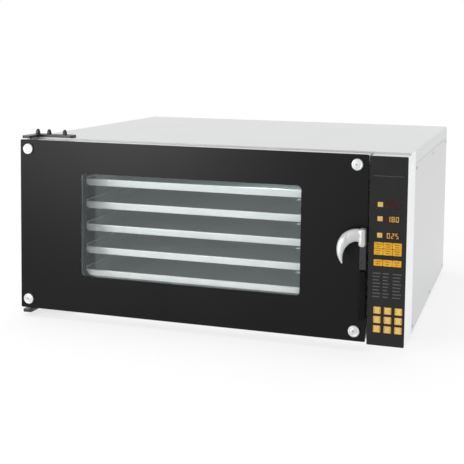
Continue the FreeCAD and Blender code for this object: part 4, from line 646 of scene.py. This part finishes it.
# Claw handle: pairs are values at the horn's root and tip
AXIS_X, _, AXIS_Z = joint_place("handle_turn")
ROOT_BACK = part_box("handle_lever")[1].y
ROOT_FRONT = ROOT_BACK - 22 * MM
ROOT_HALF = (9.5 * MM, 25 * MM)
ROOT = {"corner": 6.5 * MM, "edge": 6.5 * MM, "crown": 0.8 * MM}
HORN_X, HORN_Z = AXIS_X - 0.014, AXIS_Z - 0.030
HORN_STANDOFF, HORN_LEAN = 0.011, 0.022
HORN_TURN = (72, 228)
HORN_RADIUS = (0.037, 0.050)
HORN_HALF_MM = (18.0, 2.6)
HORN_DEPTH_MM = (9.5, 2.0)
RADIUS_POWER, THINNING_POWER = 4, 2.4
HORN_STEPS, HORN_SIDES = 26, 28
TIP_SHRINKS = (0.8, 0.45)
TIP_LENGTH_MM = 2.2
CLAW_VOXEL = 0.9 * MM
SMOOTH_FACTOR, SMOOTH_ROUNDS = 0.5, 60


def horn_section(share):
    """One section of the claw, as points about its curved centre line, and its middle."""
    angle = math.radians(between(HORN_TURN, share))
    thinning = share ** THINNING_POWER
    half = between(HORN_HALF_MM, thinning) * MM
    depth = between(HORN_DEPTH_MM, thinning) * MM
    y = ROOT_BACK - HORN_STANDOFF - HORN_LEAN * share
    outward = Vector((math.cos(angle), 0, math.sin(angle)))
    centre = Vector((HORN_X, y, HORN_Z)) + outward * between(HORN_RADIUS, share ** RADIUS_POWER)
    points = []
    for index in range(HORN_SIDES):
        turn = FULL_TURN * index / HORN_SIDES
        points.append(centre + outward * half * math.cos(turn) + Vector((0, depth * math.sin(turn), 0)))
    return points, centre


def handle_claw():
    """A cast claw that grows out of a rounded root."""
    sections = [horn_section(step / HORN_STEPS) for step in range(HORN_STEPS + 1)]
    loops = [section[0] for section in sections]
    tip, centre = sections[-1]
    onward = (centre - horn_section(1 - 1 / HORN_STEPS)[1]).normalized()
    for shrink in TIP_SHRINKS:
        ahead = centre + onward * (1 - shrink) * TIP_LENGTH_MM * MM
        loops.append([ahead + (point - centre) * shrink for point in tip])
    form = bmesh.new()
    skin(form, loops)
    pillow(form, *about(AXIS_X, AXIS_Z, *ROOT_HALF), ROOT_BACK, ROOT_FRONT, **ROOT)
    rough = linked("handle_form", from_bmesh("handle_form", form))
    remesh = rough.modifiers.new("remesh", "REMESH")
    remesh.mode = "VOXEL"
    remesh.voxel_size = CLAW_VOXEL
    smooth = rough.modifiers.new("smooth", "SMOOTH")
    smooth.factor = SMOOTH_FACTOR
    smooth.iterations = SMOOTH_ROUNDS
    mesh = baked(rough)
    bpy.data.objects.remove(rough)
    dressed("handle_claw", mesh, "chrome", "handle", "chrome", "handle_lever")


LATCH = {"corner": 4 * MM, "edge": 3 * MM, "crown": 0.5 * MM}


def latch_cap():
    """The black cover under the claw, with softened edges."""
    low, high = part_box("latch_cover")
    form = bmesh.new()
    pillow(form, (low.x, low.z), (high.x, high.z), high.y, low.y, **LATCH)
    finished("latch_cap", form, "black_satin", "door", "black_gloss", "latch_cover")


handle_claw()
latch_cap()

# Control strip: depths are measured from the overlay's face

overlay_low, overlay_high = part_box("control_overlay")
FACE = overlay_low.y
LENS_BACK = FACE + 2.9 * MM


def centres(node):
    """Middles of a CAD node's solids, from the lowest up."""
    return sorted([(low + high) / 2 for low, high in islands(node)], key=lambda point: point.z)


READOUTS = [point.z for point in reversed(centres("indicator_lamps"))]
LAMP_X = centres("indicator_lamps")[0].x
LAMP_HALF = (7 * MM, 6.5 * MM)
LAMP_FRONT = FACE - 0.4 * MM
LAMP = {"corner": 1.5 * MM, "edge": 0.5 * MM, "crown": 0.12 * MM}


def indicator_lenses():
    form = bmesh.new()
    for z in READOUTS:
        pillow(form, *about(LAMP_X, z, *LAMP_HALF), LENS_BACK, LAMP_FRONT, **LAMP)
    finished("indicator_lenses", form, "pale_amber", "cabinet", "amber_lens", "indicator_lamps")


DISPLAY_X = centres("digit_displays")[0].x
DISPLAY_HALF = (19 * MM, 10 * MM)
DISPLAY_FRONT = FACE - 0.3 * MM
DISPLAY = {"corner": 1.5 * MM, "edge": 0.3 * MM}
DIGIT_PITCH = 11.2 * MM
DIGIT_HALF = (3.9 * MM, 7.1 * MM)
BAR = {"corner": 0.3 * MM, "edge": 0.03 * MM, "steps": 2}
BAR_GAP = 0.15
LIT_WORDS = ("180", "025")
LIT_THICKNESS, LIT_FRONT = 1.9 * MM, FACE - 0.38 * MM
IDLE_WORD = "888"
IDLE_THICKNESS, IDLE_FRONT = 1.5 * MM, FACE - 0.36 * MM
SEGMENTS = {"0": "abcdef", "1": "bc", "2": "abged", "5": "afgcd", "8": "abcdefg"}


def segment_bars(digit, x, z, thick):
    """Corners of the lit bars of one seven-segment digit about a point."""
    gap = thick * BAR_GAP
    (left, foot), (right, head) = about(x, z, *DIGIT_HALF)
    inner_left, inner_right = left + thick + gap, right - thick - gap
    bars = {
        "a": ((inner_left, head - thick), (inner_right, head)),
        "d": ((inner_left, foot), (inner_right, foot + thick)),
        "g": ((inner_left, z - thick / 2), (inner_right, z + thick / 2)),
        "f": ((left, z + gap), (left + thick, head)),
        "e": ((left, foot), (left + thick, z - gap)),
        "b": ((right - thick, z + gap), (right, head)),
        "c": ((right - thick, foot), (right, z - gap)),
    }
    return [bars[key] for key in SEGMENTS[digit]]


def digits(form, word, z, thick, front):
    """The bars of a display's three digits."""
    for place, digit in enumerate(word):
        x = DISPLAY_X + (place - 1) * DIGIT_PITCH
        for low, high in segment_bars(digit, x, z, thick):
            pillow(form, low, high, DISPLAY_FRONT, front, **BAR)


def displays():
    """Display windows, two of them with lit numbers and the top one with dark bars."""
    form = bmesh.new()
    for z in READOUTS:
        pillow(form, *about(DISPLAY_X, z, *DISPLAY_HALF), LENS_BACK, DISPLAY_FRONT, **DISPLAY)
    finished("display_lenses", form, "dark_red_lens", "cabinet", "dark_red_lens", "digit_displays")
    lit = bmesh.new()
    for z, word in zip(READOUTS[1:], LIT_WORDS):
        digits(lit, word, z, LIT_THICKNESS, LIT_FRONT)
    finished("display_digits", lit, "dim_amber", "cabinet", "amber_lens")
    idle = bmesh.new()
    digits(idle, IDLE_WORD, READOUTS[0], IDLE_THICKNESS, IDLE_FRONT)
    finished("display_idle", idle, "dark_red_lens", "cabinet", "dark_red_lens")


CELL_COLUMNS = 3
CELL_GAP = 0.45 * MM
CELL_FRONT = FACE - 0.4 * MM
CELL = {"corner": 1.4 * MM, "edge": 0.35 * MM, "crown": 0.1 * MM}
# Each mark's height in its cell and its length, as shares of the cell's size
MARK_LINES = ((0.18, 0.62), (-0.18, 0.42))
MARK_HALF = 0.7 * MM
MARK_BACK, MARK_FRONT = FACE - 0.35 * MM, FACE - 0.46 * MM
MARK = {"corner": 0.4 * MM, "edge": 0.04 * MM, "steps": 2}


def field(form, marks, low, high, rows):
    """A block of soft touch cells in columns, each with two short printed bars."""
    cell_a, cell_b = (high.x - low.x) / CELL_COLUMNS, (high.z - low.z) / rows
    half_a, half_b = cell_a / 2 - CELL_GAP, cell_b / 2 - CELL_GAP
    for row in range(rows):
        z = (low.z + high.z) / 2 + (row - (rows - 1) / 2) * cell_b
        for column in range(CELL_COLUMNS):
            x = (low.x + high.x) / 2 + (column - 1) * cell_a
            pillow(form, *about(x, z, half_a, half_b), LENS_BACK, CELL_FRONT, **CELL)
            for height, length in MARK_LINES:
                corners = about(x, z + height * cell_b, half_a * length, MARK_HALF)
                pillow(marks, *corners, MARK_BACK, MARK_FRONT, **MARK)


def fields():
    """Touch cells: one row in the lower field and two in the upper."""
    form = bmesh.new()
    marks = bmesh.new()
    upward = sorted(islands("programme_fields"), key=lambda pair: pair[0].z)
    for rows, (low, high) in enumerate(upward, start=1):
        field(form, marks, low, high, rows)
    finished("programme_cells", form, "amber_lens", "cabinet", "amber_lens", "programme_fields")
    finished("programme_marks", marks, "legend_dark", "cabinet", "black_coat")


HAIRLINE_DROP, HAIRLINE_INSET, HAIRLINE_HALF = 52.5 * MM, 9.7 * MM, 0.6 * MM
LEGEND_ROWS, LEGEND_RISE, LEGEND_PITCH = 8, 195 * MM, 9 * MM
LEGEND_INSET, LEGEND_COLUMN = 12.8 * MM, 26.6 * MM
LEGEND_LENGTHS = (21 * MM, 17 * MM, 23 * MM)
LEGEND_SHORTENING, LEGEND_CYCLE = 2 * MM, 3
LEGEND_HALF = 1.6 * MM
LEGEND_BACK, LEGEND_FRONT = FACE + 0.2 * MM, FACE - 0.12 * MM
LEGEND = {"corner": 0.5 * MM, "edge": 0.05 * MM, "steps": 2}


def legend():
    """Plain printed bars and a hairline on the overlay."""
    hairline = overlay_high.z - HAIRLINE_DROP
    bars = [((overlay_low.x + HAIRLINE_INSET, hairline - HAIRLINE_HALF),
             (overlay_high.x - HAIRLINE_INSET, hairline + HAIRLINE_HALF))]
    for row in range(LEGEND_ROWS):
        z = overlay_low.z + LEGEND_RISE - row * LEGEND_PITCH
        for column, length in enumerate(LEGEND_LENGTHS):
            x = overlay_low.x + LEGEND_INSET + column * LEGEND_COLUMN
            shorter = LEGEND_SHORTENING * (row % LEGEND_CYCLE)
            bars.append(((x, z - LEGEND_HALF), (x + length - shorter, z + LEGEND_HALF)))
    form = bmesh.new()
    for low, high in bars:
        pillow(form, low, high, LEGEND_BACK, LEGEND_FRONT, **LEGEND)
    finished("printed_legend", form, "legend_grey", "cabinet", "grey_plastic")


KEY_COUNT = 9
KEY_HALF = (10 * MM, 9.5 * MM)
KEY_BACK = FACE + 3.4 * MM
KEY_CAP = {"corner": 2.5 * MM, "edge": 1.0 * MM, "crown": 0.25 * MM, "steps": 8}
FLANGE_BACK, FLANGE_FRONT = FACE + 4.3 * MM, FACE + 3.1 * MM
FLANGE = {"corner": 2.5 * MM, "edge": 0.3 * MM}
STEM_FOOT = ((0.0, 0.0), (3.4, 0.0), (4.0, 0.6))
STEM_RADIUS = 4.0 * MM
STEM_FRONT = FACE + 4.2 * MM
STEM_SIDES = 24
HIGHLIGHT_DEPTH, HIGHLIGHT_HALF = 0.3 * MM, 7.2 * MM


def key(name):
    """A crowned key cap with its flange behind the overlay and its stem, and a paler middle that is a
    painted highlight.
    """
    low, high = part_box(name)
    x, z = (low.x + high.x) / 2, (low.z + high.z) / 2
    form = bmesh.new()
    pillow(form, *about(x, z, *KEY_HALF), KEY_BACK, low.y, **KEY_CAP)
    pillow(form, (low.x, low.z), (high.x, high.z), FLANGE_BACK, FLANGE_FRONT, **FLANGE)
    reach = high.y - STEM_FRONT
    stem = in_mm(STEM_FOOT) + [(STEM_RADIUS, reach), (0.0, reach)]
    turned(form, stem, (x, high.y, z), TO_FRONT, STEM_SIDES)
    piece = finished(name.replace("key_", "key_cap_"), form, "key_yellow", name, "key_yellow", name)

    def in_middle(face):
        offset = max(abs(face.center.x - x), abs(face.center.z - z))
        return face.center.y < low.y + HIGHLIGHT_DEPTH and offset < HIGHLIGHT_HALF

    # The middle of the crown takes the paler yellow: painted highlight
    second_look(piece, "key_pale", in_middle)


indicator_lenses()
displays()
fields()
legend()
for key_number in range(1, KEY_COUNT + 1):
    key(f"key_{key_number}")

# Sheet pans, as (inset, rise) in millimetres round the section: outside, rolled rim, inside
PAN_OUTSIDE = [(200.0, 0.0), (24.0, 0.0), (19.0, 0.3), (16.2, 1.6), (14.4, 4.2),
               (9.0, 20.4), (8.2, 21.6), (6.8, 22.2), (3.2, 22.2)]
PAN_INSIDE = [(2.6, 24.0), (6.6, 24.0), (8.6, 23.6), (10.0, 22.2), (15.6, 5.0),
              (17.0, 2.9), (19.4, 1.5), (24.0, 1.2), (200.0, 1.2)]
PAN_RISE = 24.0
ROLL_INSET, ROLL_RISE, ROLL_RADIUS = 1.7, 22.3, 1.65
ROLL_TURNS = (20, -15, -50, -90, -130, -165)
PAN_CORNER, PAN_CORNER_LEAST, PAN_CORNER_LOSS = 12 * MM, 6 * MM, 0.5
PAN_STEPS = 8
SHADE_RINGS = 6
SHADE_RISE = 0.5 * MM
TRAY_COUNT = 5


def sheet_pan(number):
    """A pressed sheet pan with drawn corners and a rolled rim, darker inside as painted shade."""
    low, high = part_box(f"tray_{number}")
    x, y = (low.x + high.x) / 2, (low.y + high.y) / 2
    half_a, half_b = (high.x - low.x) / 2, (high.y - low.y) / 2
    roll = [(ROLL_INSET + ROLL_RADIUS * math.sin(math.radians(turn)),
             ROLL_RISE - ROLL_RADIUS * math.cos(math.radians(turn))) for turn in ROLL_TURNS]
    profile = PAN_OUTSIDE + roll + PAN_INSIDE
    loops = []
    for drawn_inset, drawn_rise in profile:
        inset = drawn_inset * MM
        z = low.z + drawn_rise / PAN_RISE * (high.z - low.z)
        radius = max(PAN_CORNER - inset * PAN_CORNER_LOSS, PAN_CORNER_LEAST)
        points = rounded(half_a - inset, half_b - inset, radius, PAN_STEPS)
        loops.append([Vector((x + a, y + b, z)) for a, b in points])
    form = bmesh.new()
    skin(form, loops)
    body = f"tray_{number}"
    piece = finished(f"sheet_pan_{number}", form, "tray_aluminium", body, "tray_aluminium", body)
    inside = len(points) * (len(profile) - SHADE_RINGS)

    def is_painted_shade(face):
        return face.index >= inside and face.center.z > low.z + SHADE_RISE

    # The pan's inside faces take the darker look: painted shade
    second_look(piece, "tray_painted_shade", is_painted_shade)


for tray_number in range(1, TRAY_COUNT + 1):
    sheet_pan(tray_number)

# Fasteners and feet: profiles are (radius, height) in millimetres


def stamped(name, form, matrices, look, *rest):
    """One crisp piece made of copies of a form."""
    pattern = from_bmesh(name + "_pattern", form)
    whole = bmesh.new()
    for matrix in matrices:
        before = len(whole.verts)
        whole.from_mesh(pattern)
        whole.verts.ensure_lookup_table()
        bmesh.ops.transform(whole, matrix=matrix, verts=whole.verts[before:])
    bpy.data.meshes.remove(pattern)
    sharpen(finished(name, whole, look, *rest))


def towards(origin, axis):
    """Matrix that puts a form made along +Z at origin, along axis."""
    turn = UP.rotation_difference(Vector(axis))
    return Matrix.Translation(origin) @ turn.to_matrix().to_4x4()


SCREW_HEAD = 2.2
SCREW = ((0.0, -6.0), (1.4, -6.0), (2.0, -5.2), (2.0, 0.0), (4.3, 0.0), (4.6, 0.3), (4.6, 0.8),
         (4.2, 1.5), (3.4, 1.95), (2.4, SCREW_HEAD), (0.0, SCREW_HEAD))
SCREW_SIDES = 32
RECESS_ARMS, RECESS_ARM, RECESS_HALF = 4, 2.5 * MM, 0.42 * MM
RECESS_FLOOR, RECESS_TOP, RECESS_TAPER = 0.9 * MM, 3.0 * MM, 0.7
REAR_SCREW_X = (-0.52, -0.18, 0.18, 0.52)
REAR_SCREW_INSET = 16 * MM


def screw_form():
    """A pan head with a cross recess and its shank."""
    form = bmesh.new()
    turned(form, in_mm(SCREW), (0, 0, 0), UP, SCREW_SIDES)
    blank = linked("screw_blank", from_bmesh("screw_blank", form))
    cross = []
    arm = [(RECESS_ARM, RECESS_HALF), (RECESS_HALF, RECESS_HALF), (RECESS_HALF, RECESS_ARM)]
    for _ in range(RECESS_ARMS):
        cross += arm
        arm = [(-b, a) for a, b in arm]
    cutter_form = bmesh.new()
    skin(cutter_form, [[Vector((a * RECESS_TAPER, b * RECESS_TAPER, RECESS_FLOOR)) for a, b in cross],
                       [Vector((a, b, RECESS_TOP)) for a, b in cross]])
    cutter = linked("screw_cutter", from_bmesh("screw_cutter", cutter_form))
    cut = blank.modifiers.new("recess", "BOOLEAN")
    cut.operation = "DIFFERENCE"
    cut.object = cutter
    cut_mesh = baked(blank)
    result = bmesh.new()
    result.from_mesh(cut_mesh)
    for item in (blank, cutter):
        bpy.data.objects.remove(item)
    bpy.data.meshes.remove(cut_mesh)
    return result


def casing_screws():
    """Screws where the CAD has them, and a row along the rear panel's upper and lower edges."""
    sides = []
    for low, high in islands("casing_screws"):
        middle = (low + high) / 2
        outward = 1 if middle.x > 0 else -1
        seat = (high.x if outward > 0 else low.x) - outward * SCREW_HEAD * MM
        sides.append(towards((seat, middle.y, middle.z), (outward, 0, 0)))
    look = "fastener_steel"
    stamped("side_screws", screw_form(), sides, look, "cabinet", "fastener_steel", "casing_screws")
    low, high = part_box("rear_panel")
    rear = []
    for x in REAR_SCREW_X:
        for z in (low.z + REAR_SCREW_INSET, high.z - REAR_SCREW_INSET):
            rear.append(towards((x, high.y, z), (0, 1, 0)))
    stamped("rear_screws", screw_form(), rear, look, "cabinet", "fastener_steel")


BOLT_SHANK = 16.0
BOLT_STEM = ((0.0, -BOLT_SHANK), (3.4, -BOLT_SHANK), (4.0, -15.2), (4.0, 0.0), (7.3, 0.0), (7.5, 0.2),
             (7.5, 1.1), (7.2, 1.3), (0.0, 1.3))
BOLT_SIDES = 36
NUT_SIDES = 6
NUT_HALF, NUT_HEIGHT, NUT_FOOT, NUT_BEVEL = 6.4 * MM, 7.5 * MM, 1.2 * MM, 1.0 * MM
NUT_FOOT_BEVEL, NUT_FOOT_LIMIT, NUT_HEAD_LIMIT = 0.4 * MM, 0.97, 0.9
DOME_RADIUS, DOME_LEAST, DOME_SUNK = 5.8 * MM, 0.6 * MM, 0.5 * MM
DOME_ANGLES = range(0, 90, 15)


def bolt_form(head):
    """A hex nut on a washer with a domed cap above it, and the shank below."""
    form = bmesh.new()
    turned(form, in_mm(BOLT_STEM), (0, 0, 0), UP, BOLT_SIDES)
    sector = FULL_TURN / NUT_SIDES
    corner = NUT_HALF / math.cos(sector / 2)
    nut = min(head - DOME_LEAST, NUT_HEIGHT)
    bands = ((NUT_FOOT, NUT_FOOT_LIMIT), (NUT_FOOT + NUT_FOOT_BEVEL, 1.0), (nut - NUT_BEVEL, 1.0),
             (nut, NUT_HEAD_LIMIT))
    loops = []
    for height, limit in bands:
        loop = []
        for index in range(BOLT_SIDES):
            angle = FULL_TURN * index / BOLT_SIDES
            flat = NUT_HALF / math.cos((angle % sector) - sector / 2)
            reach = min(flat, corner * limit)
            loop.append(Vector((reach * math.cos(angle), reach * math.sin(angle), height)))
        loops.append(loop)
    skin(form, loops)
    cap = [(0.0, nut - DOME_SUNK), (DOME_RADIUS, nut - DOME_SUNK)]
    for degrees in DOME_ANGLES:
        angle = math.radians(degrees)
        cap.append((DOME_RADIUS * math.cos(angle), nut + (head - nut) * math.sin(angle)))
    turned(form, cap + [(0.0, head)], (0, 0, 0), UP, BOLT_SIDES)
    return form


def hinge_bolts():
    """Tall bolts on the upper strap and low ones under the lower strap."""
    cabinet_middle = (cad_box[0].z + cad_box[1].z) / 2
    rows = {"upper_strap_bolts": [], "lower_strap_bolts": []}
    heads = {}
    for low, high in islands("hinge_bolts"):
        middle = (low + high) / 2
        head = high.z - low.z - BOLT_SHANK * MM
        upper = middle.z > cabinet_middle
        name = "upper_strap_bolts" if upper else "lower_strap_bolts"
        seat = high.z - head if upper else low.z + head
        rows[name].append(towards((middle.x, middle.y, seat), (0, 0, 1 if upper else -1)))
        heads[name] = head
    for name, places in rows.items():
        stamped(name, bolt_form(heads[name]), places, "black_paint", "cabinet", "black_paint", "hinge_bolts")


FOOT = ((0.0, 0.0), (19.0, 0.0), (20.6, 0.5), (21.6, 1.2), (22.0, 2.2), (22.0, 8.0), (21.4, 8.7),
        (19.0, 9.6), (14.5, 11.2), (12.6, 13.0), (12.0, 15.5), (12.0, 20.0), (4.0, 20.0))
STUD_TOP = ((4.0, -1.0), (3.2, 0.0), (0.0, 0.0))
FOOT_SIDES = 96
RIB_COUNT, RIB_DEPTH, RIB_LEAST = 24, 0.5 * MM, 21.5 * MM


def feet():
    """Turned rubber feet with a ribbed side and a stud."""
    places = []
    height = 0.0
    for low, high in islands("feet"):
        places.append(Matrix.Translation(((low.x + high.x) / 2, (low.y + high.y) / 2, low.z)))
        height = high.z - low.z

    def ribs(radius, angle):
        return -RIB_DEPTH * (0.5 + 0.5 * math.cos(RIB_COUNT * angle)) if radius > RIB_LEAST else 0.0

    form = bmesh.new()
    turned(form, in_mm(FOOT) + in_mm(STUD_TOP, height), (0, 0, 0), UP, FOOT_SIDES, ribs)
    stamped("rubber_feet", form, places, "black_rubber", "cabinet", "black_rubber", "feet")


casing_screws()
hinge_bolts()
feet()

# Stage
SEEN_RAYS = ("Is Camera Ray", "Is Glossy Ray", "Is Transmission Ray")
FLOOR_HALF = 20.0
FLOOR_CELLS = 8
FLOOR_TONE, FLOOR_DARK, FLOOR_LIGHT = (0.95,) * 3, (0.945,) * 3, (0.955,) * 3
NEAR_WHITE = 0.7
SHADOW_REACH = (0.8, 1.6)
SKY_STRENGTH = 0.78


def seen_rays(tree):
    """A socket that is 1 for rays from the camera, straight or by way of metal and glass."""
    path = tree.nodes.new("ShaderNodeLightPath")
    seen = path.outputs[SEEN_RAYS[0]]
    for ray in SEEN_RAYS[1:]:
        item = tree.nodes.new("ShaderNodeMath")
        item.operation = "MAXIMUM"
        tree.links.new(seen, item.inputs[0])
        tree.links.new(path.outputs[ray], item.inputs[1])
        seen = item.outputs[0]
    return seen


def floor():
    """A pale floor that turns white away from the oven and keeps a faint shadow near it."""
    form = bmesh.new()
    bmesh.ops.create_grid(form, x_segments=FLOOR_CELLS, y_segments=FLOOR_CELLS, size=FLOOR_HALF)
    mesh = bpy.data.meshes.new("studio_floor")
    form.to_mesh(mesh)
    form.free()
    ground = linked("studio_floor", mesh)
    surface = Surface("studio_floor", FLOOR_TONE, metallic=0.0, roughness=0.9)
    surface.set("Specular IOR Level", 0.0)
    surface.tint(surface.noise(size=0.4, detail=2.0), FLOOR_DARK, FLOOR_LIGHT)
    coordinates = surface.add("ShaderNodeTexCoord")
    length = surface.add("ShaderNodeVectorMath", operation="LENGTH")
    surface.link(coordinates.outputs["Object"], length.inputs[0])
    far = surface.spread(length.outputs["Value"], NEAR_WHITE, 1.0, *SHADOW_REACH)
    white = surface.add("ShaderNodeEmission")
    surface.show(white.outputs["Emission"], surface.math("MULTIPLY", seen_rays(surface.tree), far))
    mesh.materials.append(surface.material)


def world():
    """A sky that is white where it is seen, and softer in the light that it gives."""
    sky = bpy.data.worlds.new("studio")
    bpy.context.scene.world = sky
    sky.use_nodes = True
    tree = sky.node_tree
    tree.nodes.clear()
    output = tree.nodes.new("ShaderNodeOutputWorld")
    mix = tree.nodes.new("ShaderNodeMixShader")
    tree.links.new(seen_rays(tree), mix.inputs["Fac"])
    for index, strength in enumerate((SKY_STRENGTH, 1.0), start=1):
        background = tree.nodes.new("ShaderNodeBackground")
        background.inputs["Color"].default_value = WHITE
        background.inputs["Strength"].default_value = strength
        tree.links.new(background.outputs["Background"], mix.inputs[index])
    tree.links.new(mix.outputs["Shader"], output.inputs["Surface"])


# Camera, fitted to the photograph's corners
CAMERA = Vector((0.896198, -3.01134, 0.804071))
YAW, PITCH, ROLL = 0.311489, 0.081289, 0.0115
FOCAL_PIXELS, PICTURE, SENSOR = 965.315, 464, 36.0
AXIS_ROW = 128


def camera():
    right = Vector((math.cos(YAW), math.sin(YAW), 0))
    forward = Vector((-math.sin(YAW), math.cos(YAW), 0))
    aim = forward * math.cos(PITCH) - UP * math.sin(PITCH)
    lift = UP * math.cos(PITCH) + forward * math.sin(PITCH)
    across = right * math.cos(ROLL) + lift * math.sin(ROLL)
    rise = lift * math.cos(ROLL) - right * math.sin(ROLL)
    data = bpy.data.cameras.new("camera")
    data.sensor_width = SENSOR
    data.lens = FOCAL_PIXELS / PICTURE * SENSOR
    data.shift_y = (AXIS_ROW - PICTURE / 2) / PICTURE
    item = linked("camera", data)
    matrix = Matrix((across, rise, -aim)).transposed().to_4x4()
    matrix.translation = CAMERA
    item.matrix_world = matrix
    bpy.context.scene.camera = item


def lamp(name, kind, place, target, watts):
    """A lamp at a place, turned to a target; its size is set by the caller."""
    data = bpy.data.lights.new(name, kind)
    data.energy = watts
    item = linked(name, data)
    item.location = place
    item.rotation_euler = (Vector(target) - Vector(place)).to_track_quat("-Z", "Y").to_euler()
    return item


KEY_PLACE, KEY_TARGET, KEY_WATTS, KEY_SIZE = (-1.52, -3.39, 0.68), (0, -0.3, 0.27), 42, 1.2
TOP_PLACE, TOP_TARGET, TOP_WATTS, TOP_SIZE = (-0.6, -0.6, 4.2), (0, 0, 0), 60, 3.0
BULB_DROP, BULB_WATTS, BULB_SIZE = 12 * MM, 1.5, 20 * MM
STRIP_AIM, STRIP_WATTS = Vector((0, 0.04, 0.05)), 0.09
STRIP_SHARE, STRIP_WIDTH = 0.96, 12 * MM


def studio_lamps():
    """A low lamp from the front left, and a wide one overhead that steel doesn't mirror."""
    low_front = lamp("key_light", "AREA", KEY_PLACE, KEY_TARGET, KEY_WATTS)
    low_front.data.size = KEY_SIZE
    overhead = lamp("top_light", "AREA", TOP_PLACE, TOP_TARGET, TOP_WATTS)
    overhead.data.size = TOP_SIZE
    overhead.visible_glossy = False


def cavity_lamps():
    """A lamp under the oven lamp's glass, and a weak strip along the foot of the cavity's mouth."""
    low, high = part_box("lamp_glass")
    place = Vector(((low.x + high.x) / 2, (low.y + high.y) / 2, low.z - BULB_DROP))
    bulb = lamp("cavity_light", "POINT", place, place - UP, BULB_WATTS)
    bulb.data.shadow_soft_size = BULB_SIZE
    low, high = opening("cavity_mouth")
    pan_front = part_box("tray_1")[0].y
    place = Vector(((low.x + high.x) / 2, (low.y + pan_front) / 2, low.z))
    strip = lamp("mouth_light", "AREA", place, place + STRIP_AIM, STRIP_WATTS)
    strip.data.shape = "RECTANGLE"
    strip.data.size = (high.x - low.x) * STRIP_SHARE
    strip.data.size_y = STRIP_WIDTH
    strip.visible_camera = False


floor()
world()
camera()
studio_lamps()
cavity_lamps()
bpy.context.scene.view_settings.view_transform = "Standard"
